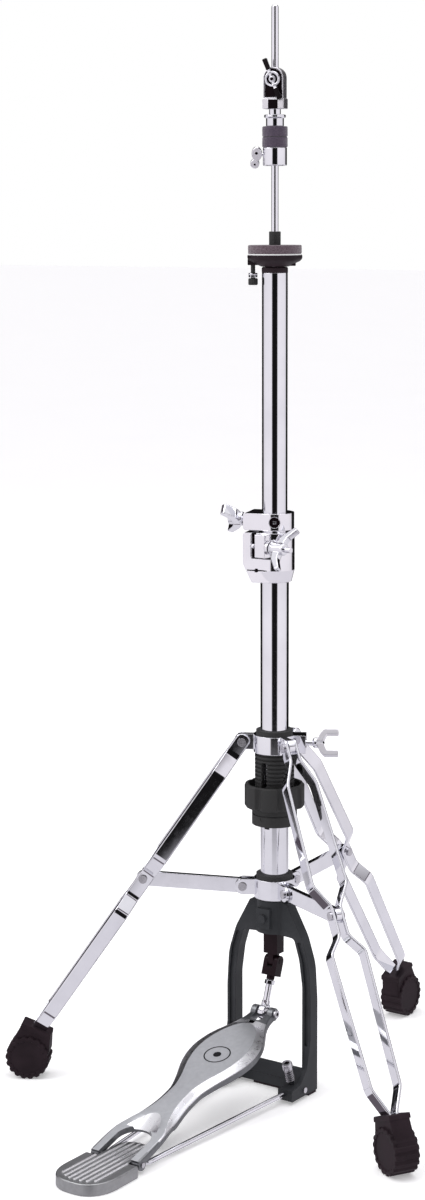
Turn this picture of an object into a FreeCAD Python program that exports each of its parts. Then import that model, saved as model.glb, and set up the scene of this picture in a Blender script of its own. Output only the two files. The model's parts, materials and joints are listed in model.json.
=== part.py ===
import FreeCAD, Part
import math
import os
import re

from FreeCAD import Placement, Rotation, Vector

# A hi-hat stand: a double-braced tripod, a two-part tube, a pull rod with its clutch, and a pedal.
# Millimetres. +Z is up, the origin is on the tube's axis at floor level, and the pedal points to -Y.
# Azimuths are degrees about +Z from +X. Each leg is drawn in its own plane, as (radius, height).

SIZES = {
    # tubes and pull rod, on the stand's axis
    "lower_tube_radius": 14.3, "lower_bore_radius": 13.1, "lower_tube_low": 171, "lower_tube_high": 577,
    "upper_tube_radius": 12.7, "upper_bore_radius": 11.5, "upper_tube_low": 500, "upper_tube_high": 834,
    "rod_radius": 3.5, "rod_low": 152, "rod_joint": 465, "rod_high": 1090, "slide_gap": 0.1,
    "coupler_radius": 6.5, "spring_stop_radius": 9.2, "spring_radius": 9, "spring_wire": 2.5,
    # threaded sleeve, tension knob and the carrier that it lifts
    "sleeve_low": 279.5, "sleeve_high": 352.2, "sleeve_core": 18.6, "thread_radius": 20,
    "thread_pitch": 4.2, "thread_height": 2.2, "slot_width": 6, "slot_low": 274, "slot_high": 330,
    "knob_low": 295.4, "knob_high": 320, "knob_radius": 30.5, "knob_bore": 20.5, "knob_recess": 26,
    "knob_floor": 306, "knob_lobes": 8, "carrier_low": 278, "carrier_high": 295, "carrier_radius": 23,
    "carrier_bore": 20.4, "seat_radius": 12.7, "seat_low": 281, "seat_high": 291, "seat_pin_radius": 2.4,
    # leg collars and nylon rings
    "upper_collar_low": 352.8, "upper_collar_high": 371, "upper_collar_radius": 21.3,
    "lower_collar_low": 200.7, "lower_collar_high": 221, "lower_collar_radius": 20.8,
    "collar_bore": 14.4, "nylon_radius": 18.7, "nylon_height": 4.6, "lug_half": 3.3, "ear_outer": 6.3,
    "ear_radius": 8, "pivot_pin_radius": 2.5, "rivet_head_radius": 4.4, "rivet_head": 1.6,
    "top_pivot_out": 33, "top_pivot_up": 363, "brace_pivot_out": 32.4, "brace_pivot_up": 211.5,
    "waist_out": 135, "waist_up": 217, "leg_slope": 55.53, "leg_length": 373,
    # legs, braces and feet
    "strip_width": 15, "strip_thick": 3, "strip_bend": 7, "waist_half": 4.7, "brace_half": 2.9,
    "foot_width": 26, "wheel_radius": 23, "wheel_out": 257.5,
    # height clamp and memory lock
    "clamp_low": 528, "clamp_high": 578, "clamp_radius": 20, "lock_low": 580.6, "lock_high": 597.4,
    "lock_radius": 19.5, "boss_out": 28, "boss_half": 17.5, "slit": 2.2, "split": 4.6,
    # cymbal seat
    "cap_radius": 12.8, "cap_high": 839.6, "cap_plug_low": 818, "cup_low": 840, "cup_high": 851.2,
    "cup_rim_radius": 27, "cup_base_radius": 14, "felt_low": 852.4, "felt_high": 860.8,
    "felt_radius": 26.5, "seat_sleeve_radius": 5.75, "seat_sleeve_bore": 5.1, "seat_sleeve_high": 874,
    # clutch
    "nut_low": 937.2, "nut_high": 954.7, "nut_radius": 11.7, "clutch_felt_radius": 12.5,
    "clutch_felt_high": 974.8, "clutch_felt_seam": 964.8, "clutch_tube_radius": 4.9,
    "clutch_flange_low": 983.1, "clutch_flange_high": 985.8, "clutch_block_low": 991.5,
    "clutch_block_high": 1001, "clutch_arch": 1021, "clutch_half": 10, "clutch_depth": 7,
    # pedal frame
    "frame_half": 51.5, "frame_inner": 41.2, "arm_front": -11, "arm_back": 2, "arm_spring": 100,
    "hub_low": 165, "hub_high": 199.6, "hub_radius": 19, "base_low": 3.5, "base_high": 14,
    "base_back": 20, "base_front": -15, "block_inner": 33.5, "block_front": -44, "block_high": 14.5,
    "side_wall": 5, "pad_height": 3.5, "rod_wire": 2.6,
    # footboard, heel plate and drive link
    "heel_hinge_y": -268, "heel_hinge_z": 12, "board_tilt": 15.7, "board_length": 258.7,
    "board_top": 3.5, "board_depth": 10, "board_skin": 4, "clevis_half": 13, "heel_half": 31,
    "heel_height": 11, "tongue_half": 18.5, "hinge_pin_radius": 2.6,
    "link_pivot_y": -1.4, "link_pivot_z": 132, "link_half": 8.2, "link_length": 53,
    "link_tilt": 19.34, "eye_radius": 8.5, "eye_bore": 4.7, "clevis_pin_radius": 2.8,
    "spur_x": 38, "spur_tip_y": -21.3, "spur_tip_z": 1.5, "spur_lean": 19.2, "spur_radius": 3,
    "spur_length": 33, "spur_head_radius": 5.4, "spur_head": 7.5,
}

LEG_AZIMUTHS = {"left": 210.0, "right": -30.0, "rear": 90.0}
WING_SIDE = 210.0       # azimuth of the screws on the seat and on the clutch's bottom nut
LOCK_SIDE = 198.0       # azimuth of the memory lock's wing screw and of the clamp's spine
CLUTCH_FRONT = -72.0    # azimuth that the clutch's wing screw points to
COLLAR_WING = 30.0      # azimuth of the upper collar's wing bolt
CLAMP_BOLT = -7.0       # azimuth that the height clamp's eye bolt points to

doc = FreeCAD.newDocument("HiHatStand")
sheet = doc.addObject("Spreadsheet::Sheet", "Sizes")
for row, (alias, value) in enumerate(SIZES.items(), start=1):
    sheet.set(f"A{row}", alias.replace("_", " "))
    sheet.set(f"B{row}", str(value))
    sheet.setAlias(f"B{row}", alias)
doc.recompute()

ALIAS = re.compile(r"[a-z][a-z_]+")
nodes = []


def size(alias):
    """The number in a size's cell."""
    return float(sheet.get(alias))


def bound(text):
    """An expression in which each alias points at its cell in the sheet."""
    return ALIAS.sub(lambda found: f"Sizes.{found[0]}" if found[0] in SIZES else found[0], str(text))


def bind(made, **sizes):
    """Bind an object's properties to expressions of the sheet's cells."""
    for prop, text in sizes.items():
        made.setExpression(prop.replace("__", ".Base."), bound(text))
    return made


def drum(radius, low, high, top_radius=None):
    """A cylinder up the stand's axis from low to high, or a cone where top_radius is given."""
    if top_radius is None:
        made = bind(doc.addObject("Part::Cylinder", "Drum"), Radius=radius)
    else:
        made = bind(doc.addObject("Part::Cone", "Taper"), Radius1=radius, Radius2=top_radius)
    return bind(made, Height=f"({high}) - ({low})", Placement__z=low)


def block(x_low, x_high, y_low, y_high, z_low, z_high):
    """A box between two limits on each axis."""
    made = doc.addObject("Part::Box", "Block")
    bind(made, Length=f"({x_high}) - ({x_low})", Width=f"({y_high}) - ({y_low})")
    bind(made, Height=f"({z_high}) - ({z_low})")
    return bind(made, Placement__x=x_low, Placement__y=y_low, Placement__z=z_low)


def bar(radius, length, start, direction):
    """A round bar of a given length from a start point along a direction."""
    made = bind(doc.addObject("Part::Cylinder", "Bar"), Radius=radius, Height=length)
    made.Placement = Placement(Vector(*start), Rotation(Vector(0, 0, 1), Vector(*direction)))
    return made


def fuse(*pieces):
    """One solid from pieces that touch."""
    made = doc.addObject("Part::MultiFuse", "Union")
    made.Shapes = list(pieces)
    made.Refine = True
    return made


def cut(base, *tools):
    """A base with the tools taken out of it."""
    made = doc.addObject("Part::Cut", "Difference")
    made.Base = base
    made.Tool = tools[0] if len(tools) == 1 else fuse(*tools)
    made.Refine = True
    return made


def group(*pieces):
    """Separate solids that share one node or one placement."""
    made = doc.addObject("Part::Compound", "Group")
    made.Links = list(pieces)
    return made


def moved(made, point=(0, 0, 0), turn=None):
    """A copy's worth of placement: made, turned and then moved."""
    holder = group(made)
    holder.Placement = Placement(Vector(*point), turn or Rotation())
    return holder


def spun(made, azimuth):
    """made, turned about the stand's axis."""
    return moved(made, turn=Rotation(Vector(0, 0, 1), azimuth))


def node(label, made):
    """Name a finished sub-part."""
    made.Label = label
    nodes.append(made)


def pad(plane, outlines, depth):
    """A PartDesign body that pads closed outlines symmetrically about one of its origin planes."""
    body = doc.addObject("PartDesign::Body", "Body")
    sketch = body.newObject("Sketcher::SketchObject", "Outline")
    support = next(f for f in body.Origin.OriginFeatures if f.Role == plane + "_Plane")
    sketch.AttachmentSupport = [(support, "")]
    sketch.MapMode = "FlatFace"
    for outline in outlines:
        sketch.addGeometry(outline)
    feature = body.newObject("PartDesign::Pad", "Pad")
    feature.Profile = sketch
    feature.SideType = "Symmetric"
    bind(feature, Length=depth)
    return body


def unit(start, end):
    """The direction from one point to another."""
    return (end - start).normalize()


def corner(before, point, after, radius):
    """The tangent arc that rounds a corner, as its start, middle and end, or the corner itself."""
    back, ahead = unit(point, before), unit(point, after)
    half = back.getAngle(ahead) / 2
    if radius == 0 or half > math.radians(89.5):
        return point, None, point
    reach = radius / math.tan(half)
    centre = point + (back + ahead).normalize() * (radius / math.sin(half))
    return point + back * reach, centre + unit(centre, point) * radius, point + ahead * reach


def rounded(points, radii):
    """A closed outline of straight runs whose corners are tangent arcs of the given radii."""
    points = [Vector(x, y, 0) for x, y in points]
    count = len(points)
    if not isinstance(radii, (list, tuple)):
        radii = [radii] * count
    arcs = [corner(points[k - 1], points[k], points[(k + 1) % count], radii[k]) for k in range(count)]
    curves = []
    for index, (start, middle, end) in enumerate(arcs):
        if middle is not None:
            curves.append(Part.Arc(start, middle, end))
        curves.append(Part.LineSegment(end, arcs[(index + 1) % count][0]))
    return curves


def bent_rod(radius, points, bend):
    """A round rod along an open path of straight runs joined by tangent arcs."""
    joints = [corner(*points[k - 1:k + 2], bend) for k in range(1, len(points) - 1)]
    edges, last = [], points[0]
    for start, middle, end in joints:
        edges += [Part.LineSegment(last, start).toShape(), Part.Arc(start, middle, end).toShape()]
        last = end
    edges.append(Part.LineSegment(last, points[-1]).toShape())
    section = Part.Wire(Part.makeCircle(radius, points[0], unit(points[0], points[1])))
    made = doc.addObject("Part::Feature", "BentRod")
    made.Shape = Part.Wire(edges).makePipeShell([section], True, False)
    return made


def strip(path, thick, bend):
    """The outline of a flat strip bent along a path, with round bends."""
    path = [Vector(x, y, 0) for x, y in path]
    sides = []
    for side in (1, -1):
        points, radii = [], []
        for index, point in enumerate(path):
            back = unit(path[max(index - 1, 0)], path[max(index, 1)])
            ahead = unit(path[min(index, len(path) - 2)], path[min(index + 1, len(path) - 1)])
            normal = Vector(-back.y - ahead.y, back.x + ahead.x, 0).normalize()
            stretch = thick / 2 / normal.dot(Vector(-back.y, back.x, 0))
            offset = point + normal * side * stretch
            turn = back.x * ahead.y - back.y * ahead.x
            points.append((offset.x, offset.y))
            radii.append(0 if abs(turn) < 0.01 else bend - side * math.copysign(thick / 2, turn))
        sides.append((points, radii))
    (left, left_radii), (right, right_radii) = sides
    return rounded(left + right[::-1], left_radii + right_radii[::-1])


def along(azimuth, radius, height, across=0.0):
    """A point at a radius along an azimuth, set off across it."""
    turn = math.radians(azimuth)
    x = radius * math.cos(turn) - across * math.sin(turn)
    y = radius * math.sin(turn) + across * math.cos(turn)
    return (x, y, height)


def facing(azimuth, roll=0.0, rise=0.0):
    """A rotation that points local Z along an azimuth and local X up, rolled about that direction."""
    turn = math.radians(azimuth)
    lift = math.radians(rise)
    out = Vector(math.cos(turn) * math.cos(lift), math.sin(turn) * math.cos(lift), math.sin(lift))
    side = Vector(-math.sin(turn), math.cos(turn), 0)
    top = side.cross(out).negative()
    angle = math.radians(roll)
    across = top * math.cos(angle) + side * math.sin(angle)
    return Rotation(across, out.cross(across), out, "ZXY")


def make_tubes():
    """The fixed lower tube, slotted for the spring carrier, and the sliding upper tube."""
    lower = drum("lower_tube_radius", "lower_tube_low", "lower_tube_high")
    bore = drum("lower_bore_radius", "lower_tube_low - 1", "lower_tube_high + 1")
    slot = block("-slot_width / 2", "slot_width / 2", "-20", "20", "slot_low", "slot_high")
    node("lower_tube", cut(lower, bore, slot))
    upper = drum("upper_tube_radius", "upper_tube_low", "upper_tube_high")
    node("upper_tube", cut(upper, drum("upper_bore_radius", "upper_tube_low - 1", "upper_tube_high + 1")))
    plug = drum("upper_bore_radius - 0.1", "cap_plug_low", "upper_tube_high")
    flange = drum("cap_radius", "upper_tube_high", "cap_high")
    bore = drum("rod_radius + slide_gap", "cap_plug_low - 1", "cap_high + 1")
    node("tube_cap", cut(fuse(plug, flange), bore))


def make_pull_rod():
    """The pull rod's two halves, their coupler with the spring's upper stop, and the rod end."""
    node("upper_rod", fuse(drum("rod_radius", "rod_joint + 1", "rod_high - 2"),
                           drum("rod_radius", "rod_high - 2", "rod_high", "rod_radius - 1.6")))
    node("lower_rod", drum("rod_radius", "rod_low", "rod_joint - 1"))
    coupler = fuse(drum("coupler_radius", "rod_joint - 22", "rod_joint + 18"),
                   drum("spring_stop_radius", "rod_joint - 30", "rod_joint - 22"))
    node("rod_coupler", cut(coupler, drum("rod_radius + 0.02", "rod_joint - 40", "rod_joint + 20")))
    head = block("-link_half", "link_half", "link_pivot_y - 6.5", "link_pivot_y + 6.5",
                 "link_pivot_z + 9", "163.5")
    tongue = block("-3", "3", "link_pivot_y - 6", "link_pivot_y + 6", "link_pivot_z", "link_pivot_z + 10")
    nose = bar("6", "6", (-3, size("link_pivot_y"), size("link_pivot_z")), (1, 0, 0))
    pin_hole = bar("pivot_pin_radius + slide_gap", "10",
                   (-5, size("link_pivot_y"), size("link_pivot_z")), (1, 0, 0))
    bore = drum("rod_radius + 0.02", "rod_low", "170")
    node("rod_end", cut(fuse(head, tongue, nose), pin_hole, bore))


def make_spring():
    """The carrier ring that the knob lifts, its cross-pinned spring seat, and the return spring."""
    ring = drum("carrier_radius", "carrier_low", "carrier_high")
    neck = cut(drum("carrier_radius + 1", "carrier_high - 6.5", "carrier_high - 5"),
               drum("carrier_radius - 1", "carrier_high - 7", "carrier_high - 4"))
    bore = drum("carrier_bore", "carrier_low - 1", "carrier_high + 1")
    pin_hole = bar("seat_pin_radius + 0.02", "60", (0, -30, 286), (0, 1, 0))
    node("carrier_ring", cut(ring, neck, bore, pin_hole))
    disc = drum("seat_radius", "seat_low", "seat_high")
    pins = bar("seat_pin_radius", "45", (0, -22.5, 286), (0, 1, 0))
    node("spring_seat", cut(fuse(disc, pins), drum("rod_radius + 0.4", "seat_low - 9", "seat_high + 9")))
    coil = drum("spring_radius", "seat_high + 0.3", "rod_joint - 30.3")
    node("pedal_spring", cut(coil, drum("spring_radius - spring_wire", "seat_high", "rod_joint - 30")))


def make_sleeve_and_knob():
    """The threaded, slotted sleeve on the tube and the lobed knob that turns on it."""
    turns = int((size("sleeve_high") - size("sleeve_low")) / size("thread_pitch"))
    threads = []
    for turn in range(turns):
        low = f"sleeve_low + 1 + {turn} * thread_pitch"
        threads.append(drum("thread_radius", low, low + " + thread_height"))
    core = drum("sleeve_core", "sleeve_low", "sleeve_high")
    bore = drum("lower_tube_radius + 0.05", "sleeve_low - 1", "sleeve_high + 1")
    slot = block("-slot_width / 2", "slot_width / 2", "-25", "25", "sleeve_low - 1", "slot_high + 14")
    node("threaded_sleeve", cut(fuse(core, *threads), bore, slot))
    knob = drum("knob_radius", "knob_low", "knob_high")
    lobes = int(size("knob_lobes"))
    grooves = [bar("3.4", "40", along(360 * k / lobes, size("knob_radius") + 1.2, 290), (0, 0, 1))
               for k in range(lobes)]
    recess = drum("knob_recess", "knob_floor", "knob_high + 1")
    node("tension_knob", cut(knob, recess, drum("knob_bore", "knob_low - 1", "knob_high"), *grooves))


def lug(out, up, across, half, inner):
    """A flat lug in the leg's plane, from the collar out to a round end about a pivot."""
    radius = size("ear_radius")
    outline = rounded([(inner, up - radius), (out + radius, up - radius), (out + radius, up + radius),
                       (inner, up + radius)], [0, radius - 0.01, radius - 0.01, 0])
    return moved(pad("XZ", [outline], half), (0, across, 0))


def pivot_hole(out, up):
    """The bore for a pivot pin across the leg's plane."""
    return bar("pivot_pin_radius + slide_gap", "40", (out, -20, up), (0, 1, 0))


def make_collars():
    """The sliding upper collar with its lugs and wing block, and the lower collar with its ears."""
    out, up = size("top_pivot_out"), size("top_pivot_up")
    ring = drum("upper_collar_radius", "upper_collar_low", "upper_collar_high")
    lugs = [spun(lug(out, up, 0, "2 * lug_half", 17), azimuth) for azimuth in LEG_AZIMUTHS.values()]
    holes = [spun(pivot_hole(out, up), azimuth) for azimuth in LEG_AZIMUTHS.values()]
    wing_block = spun(block("17", "32", "-9", "9", "upper_collar_low", "upper_collar_high"), COLLAR_WING)
    bore = drum("collar_bore", "upper_collar_low - 1", "upper_collar_high + 1")
    screw = bar("3.1", "30", along(COLLAR_WING, 10, 362), along(COLLAR_WING, 1, 0))
    node("upper_collar", cut(fuse(ring, wing_block, *lugs), bore, screw, *holes))
    out, up = size("brace_pivot_out"), size("brace_pivot_up")
    ears, holes, pins = [], [], []
    for azimuth in LEG_AZIMUTHS.values():
        for side in (-1, 1):
            across = side * (size("lug_half") + size("ear_outer")) / 2
            ears.append(spun(lug(out, up, across, "ear_outer - lug_half", 17), azimuth))
        holes.append(spun(pivot_hole(out, up), azimuth))
        pins.append(spun(rivet(out, up, "ear_outer"), azimuth))
    ring = drum("lower_collar_radius", "lower_collar_low", "lower_collar_high")
    bore = drum("collar_bore", "lower_collar_low - 1", "lower_collar_high + 1")
    node("lower_collar", cut(fuse(ring, *ears), bore, *holes))
    node("brace_rivets", group(*pins))
    for label, collar in (("upper_nylon_ring", "upper_collar_high"), ("lower_nylon_ring", "lower_collar_high")):
        ring = drum("nylon_radius", collar, f"{collar} + nylon_height")
        node(label, cut(ring, drum("collar_bore", f"{collar} - 1", f"{collar} + 9")))


def rivet(out, up, half):
    """A rivet across the leg's plane: its shank, and a head on each outer face."""
    shank = bind(bar("pivot_pin_radius", f"2 * ({half})", (0, 0, 0), (0, 1, 0)), Placement__y=f"-({half})")
    heads = []
    for low in (f"-({half}) - rivet_head", half):
        heads.append(bind(bar("rivet_head_radius", "rivet_head", (0, 0, 0), (0, 1, 0)), Placement__y=low))
    return moved(fuse(shank, *heads), (out, 0, up))


def make_legs():
    """Three legs of two bent strips, each with its rivets, its rubber foot and its brace."""
    narrow = size("waist_half")
    top = size("lug_half") + size("strip_thick") / 2 + 0.2
    path = [(-8, top), (16, top), (41, 15.7), (147, 18.7), (170, narrow), (200, narrow), (217, 18.3),
            (351, 15.6), (377, 3.4), (388, 3.4)]
    slope = Rotation(Vector(0, 1, 0), size("leg_slope"))
    hip = (size("top_pivot_out"), 0, size("top_pivot_up"))
    for name, azimuth in LEG_AZIMUTHS.items():
        outline = strip(path, size("strip_thick"), size("strip_bend"))
        mirror = strip([(x, -y) for x, y in path], size("strip_thick"), size("strip_bend"))
        hole = bar("pivot_pin_radius + 0.02", "40", (0, -20, 0), (0, 1, 0))
        rails = [cut(pad("XY", [edge], "strip_width"), hole) for edge in (outline, mirror)]
        node(f"{name}_leg_rails", spun(moved(group(*rails), hip, slope), azimuth))
        head = bind(bar("rivet_head_radius", "rivet_head", (0, 0, 0), (0, 1, 0)),
                    Placement__y="waist_half + strip_thick / 2")
        other = bind(bar("rivet_head_radius", "rivet_head", (0, 0, 0), (0, 1, 0)),
                     Placement__y="-waist_half - strip_thick / 2 - rivet_head")
        waist = moved(group(head, other), (size("waist_out"), 0, size("waist_up")))
        top_rivet = rivet(hip[0], hip[2], "lug_half + 0.2 + strip_thick")
        node(f"{name}_leg_rivets", spun(group(top_rivet, waist), azimuth))
        node(f"{name}_foot", spun(foot(), azimuth))
        node(f"{name}_brace", spun(brace(), azimuth))


def foot():
    """A wheel-shaped rubber foot with a boot that the strips run into."""
    radius = size("wheel_radius")
    centre = size("wheel_out")
    wheel = bar("wheel_radius", "foot_width", (centre, -size("foot_width") / 2, radius), (0, 1, 0))
    boot = pad("XZ", [rounded([(233, 48), (235, 28), (250, 8), (280, 22), (263, 59)],
                              [3, 6, 5, 6, 3])], "foot_width - 2")
    return fuse(wheel, boot)


def brace():
    """The flat stay between the lower collar's ears and the leg's waist."""
    start = (size("brace_pivot_out"), size("brace_pivot_up"))
    end = (size("waist_out"), size("waist_up"))
    half = size("strip_width") / 2
    run = Vector(end[0] - start[0], end[1] - start[1], 0)
    outline = rounded([(-half, -half), (run.Length + half, -half), (run.Length + half, half),
                       (-half, half)], half - 0.01)
    bar_body = pad("XZ", [outline], "2 * brace_half")
    rise = Rotation(Vector(0, -1, 0), math.degrees(math.atan2(run.y, run.x)))
    return cut(moved(bar_body, (start[0], 0, start[1]), rise), pivot_hole(*start))


def wing_piece(label, shank, hub, hub_low, hub_high, shank_low, outline, thick, point, turn):
    """A wing screw or wing nut: a shank and a hub along local Z, and a wing on each side."""
    pieces = [drum(hub, hub_low, hub_high)]
    if shank:
        pieces.append(drum(shank, shank_low, hub_high))
    for side in (1, -1):
        edge = [(side * x, z) for x, z in outline]
        pieces.append(pad("XZ", [rounded(edge, 1.4)], thick))
    made = fuse(*pieces)
    if not shank:
        made = cut(made, drum("spur_radius + slide_gap", "-5", "60"))
    node(label, moved(made, point, turn))


def make_wings():
    """The wing bolt of the upper collar, and the wing screws of the lock, clutch and its nut."""
    fork = [(2, 5), (12, 12), (13.5, 27), (8, 27), (7, 15.5), (2, 14)]
    wing_piece("collar_wing_bolt", "3", "5.2", "0", "16", "-22", fork, "7",
               along(COLLAR_WING, 37, 362), facing(COLLAR_WING))
    blades = [(2, 2), (10, 6), (20, 17), (16, 21), (8, 13), (2, 9)]
    wing_piece("lock_wing_screw", "3", "5.5", "0", "9", "-12", blades, "9",
               along(LOCK_SIDE, 32, 589.5), facing(LOCK_SIDE, 52))
    grips = [(2, 3), (19.5, 7), (19.5, 11), (2, 9)]
    wing_piece("clutch_wing_screw", "2.4", "5", "0.3", "9", "-3", grips, "4.4",
               along(CLUTCH_FRONT, 7.2, 1019.4), facing(CLUTCH_FRONT, -22))
    tails = [(1, 2), (9, 3.5), (10, 7), (7.5, 8), (1, 5)]
    wing_piece("nut_lock_screw", "1.8", "3", "0.5", "6", "-3", tails, "2.6",
               along(WING_SIDE, 11.7, 946), facing(WING_SIDE, 25))
    lobes = [(2, 3), (14, 8), (25, 19), (22, 23), (12, 15), (2, 14)]
    wing_piece("clamp_wing_nut", None, "6.2", "1", "24", "0", lobes, "5",
               along(CLAMP_BOLT, 14, 564.5, -21), facing(CLAMP_BOLT, 40))


def boss(low, high, taper):
    """The box-like spine on one side of the clamp and the memory lock, narrowing below by taper."""
    out = size("boss_out")
    outline = rounded([(0, low), (out - taper, low), (out, low + 1.6 * taper + 4), (out, high), (0, high)],
                      [0, 3, 5 if taper else 0, 2, 0])
    return spun(pad("XZ", [outline], "2 * boss_half"), LOCK_SIDE)


def make_clamps():
    """The height clamp with its slits, ear and eye bolt, and the memory lock that rests on it."""
    spine = boss(size("clamp_low"), size("clamp_high"), 9)
    foot_cone = drum("clamp_radius - 3", "clamp_low", "clamp_low + 12", "clamp_radius")
    barrel = drum("clamp_radius", "clamp_low + 12", "clamp_high")
    ear = spun(block("-9", "9.5", "-27", "-10", "554", "clamp_high - 1"), CLAMP_BOLT)
    bore = drum("lower_tube_radius + 0.05", "clamp_low - 1", "clamp_high - 1")
    mouth = drum("upper_tube_radius + 0.3", "clamp_high - 2", "clamp_high + 1")
    upright = spun(block("14.2", "14.2 + split", "6", "40", "553", "clamp_high + 1"), LOCK_SIDE)
    level = spun(block("-3", "14.2 + split", "11", "40", "552", "552 + slit"), LOCK_SIDE)
    relief = spun(block("3", "25", "11", "40", "539.5", "540.8"), LOCK_SIDE)
    stop_hole = spun(bar("2", "30", (14, 11, 540.2), (0, 1, 0)), LOCK_SIDE)
    stud_hole = bar("3.1", "60", along(CLAMP_BOLT, -12, 564.5, -21), along(CLAMP_BOLT, 1, 0))
    spotface = bar("7.4", "12", along(CLAMP_BOLT, 9.6, 564.5, -21), along(CLAMP_BOLT, 1, 0))
    node("height_clamp", cut(fuse(spine, foot_cone, barrel, ear), bore, mouth, upright, level, relief,
                             stop_hole, stud_hole, spotface))
    stud = bar("3", "50", along(CLAMP_BOLT, -11, 564.5, -21), along(CLAMP_BOLT, 1, 0))
    washer = bar("7", "3.5", along(CLAMP_BOLT, 10, 564.5, -21), along(CLAMP_BOLT, 1, 0))
    node("clamp_eye_bolt", fuse(stud, washer))
    spine = boss(size("lock_low"), size("lock_high"), 0)
    barrel = drum("lock_radius", "lock_low", "lock_high")
    bore = drum("upper_tube_radius + slide_gap", "lock_low - 1", "lock_high + 1")
    screw = bar("3.1", "30", along(LOCK_SIDE, 10, 589.5), along(LOCK_SIDE, 1, 0))
    socket = bar("5.4", "20", along(-57, 16, 589), along(-57, 1, 0))
    node("memory_lock", cut(fuse(spine, barrel), bore, screw, socket))


def make_seat():
    """The bottom cymbal's seat: tilting cup, felt, sleeve and tilt screw."""
    cup = fuse(drum("cup_base_radius", "cup_low", "cup_high - 5", "cup_rim_radius - 1"),
               drum("cup_rim_radius - 1", "cup_high - 5", "cup_high", "cup_rim_radius"))
    ear = spun(block("14", "27", "-4.5", "4.5", "cup_low + 1.5", "cup_high - 4"), WING_SIDE)
    screw_hole = bar("2.3", "20", along(WING_SIDE, 21.5, 835), (0, 0, 1))
    bore = drum("seat_sleeve_radius", "cup_low - 1", "cup_high + 1")
    recess = drum("cup_rim_radius - 4", "cup_high - 3", "cup_high + 1")
    node("seat_cup", cut(fuse(cup, ear), bore, screw_hole, recess))
    felt = drum("felt_radius", "felt_low", "felt_high")
    node("seat_felt", cut(felt, drum("seat_sleeve_radius", "felt_low - 1", "felt_high + 1")))
    washer = drum("felt_radius", "cup_high", "felt_low")
    node("seat_washer", cut(washer, drum("seat_sleeve_radius", "cup_high - 1", "felt_low + 1")))
    sleeve = drum("seat_sleeve_radius", "cup_low", "seat_sleeve_high")
    node("seat_sleeve", cut(sleeve, drum("seat_sleeve_bore", "cup_low - 1", "seat_sleeve_high + 1")))
    screw = fuse(drum("2.2", "-21", "0.5"), drum("4", "-15", "-9.5"), drum("4.7", "-22", "-15"))
    node("tilt_screw", moved(screw, along(WING_SIDE, 21.5, 844)))


def make_clutch():
    """The clutch: body, threaded tube, upper nut, two felts and the bottom nut."""
    half, depth = size("clutch_half"), size("clutch_depth")
    arch, low = size("clutch_arch"), size("clutch_block_high")
    shell = [Part.LineSegment(Vector(-half, low, 0), Vector(half, low, 0)),
             Part.LineSegment(Vector(half, low, 0), Vector(half, arch, 0)),
             Part.Arc(Vector(half, arch, 0), Vector(0, arch + half, 0), Vector(-half, arch, 0)),
             Part.LineSegment(Vector(-half, arch, 0), Vector(-half, low, 0))]
    body = pad("XZ", [shell], "2 * clutch_depth")
    foot_block = block("-10.8", "10.8", "-8", "8", "clutch_block_low", "clutch_block_high")
    recess = block("-7.5", "7.5", f"-{depth} - 1", f"-{depth} + 1.2", "clutch_block_high + 2.5", "1024")
    slot = block("-4.8", "4.8", "-9", "-6.8", "clutch_block_low - 1", "clutch_block_high - 0.8")
    body = spun(cut(fuse(body, foot_block), recess, slot), CLUTCH_FRONT + 90)
    bore = drum("rod_radius + slide_gap", "clutch_block_low - 1", "clutch_arch + 20")
    seat = drum("clutch_tube_radius", "clutch_block_low - 1", "clutch_block_low + 4")
    screw = bar("2.5", "20", along(CLUTCH_FRONT, 4, 1019.4), along(CLUTCH_FRONT, 1, 0))
    node("clutch_body", cut(body, bore, seat, screw))
    tube = drum("clutch_tube_radius", "nut_low + 1", "clutch_block_low + 4")
    node("clutch_tube", cut(tube, drum("rod_radius + slide_gap", "nut_low", "clutch_block_low + 5")))
    nut = fuse(drum("8.6", "clutch_felt_high + 0.1", "clutch_flange_low"),
               drum("10.5", "clutch_flange_low", "clutch_flange_high"),
               drum("5.6", "clutch_flange_high", "clutch_block_low - 0.2"))
    bore = drum("clutch_tube_radius + 0.02", "clutch_felt_high", "clutch_block_low")
    node("clutch_upper_nut", cut(nut, bore))
    felts = []
    for low, high in (("nut_high + 0.1", "clutch_felt_seam - 0.1"),
                      ("clutch_felt_seam + 0.1", "clutch_felt_high")):
        felt = drum("clutch_felt_radius", low, high)
        felts.append(cut(felt, drum("clutch_tube_radius + 0.1", f"{low} - 1", f"{high} + 1")))
    node("clutch_felts", group(*felts))
    nut = drum("nut_radius", "nut_low", "nut_high")
    bore = fuse(drum("clutch_tube_radius + 0.05", "nut_low + 0.9", "nut_high + 1"),
                drum("rod_radius + slide_gap", "nut_low - 1", "nut_low + 1"))
    screw = bar("1.9", "20", along(WING_SIDE, 8, 946), along(WING_SIDE, 1, 0))
    node("clutch_bottom_nut", cut(nut, bore, screw))


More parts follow.
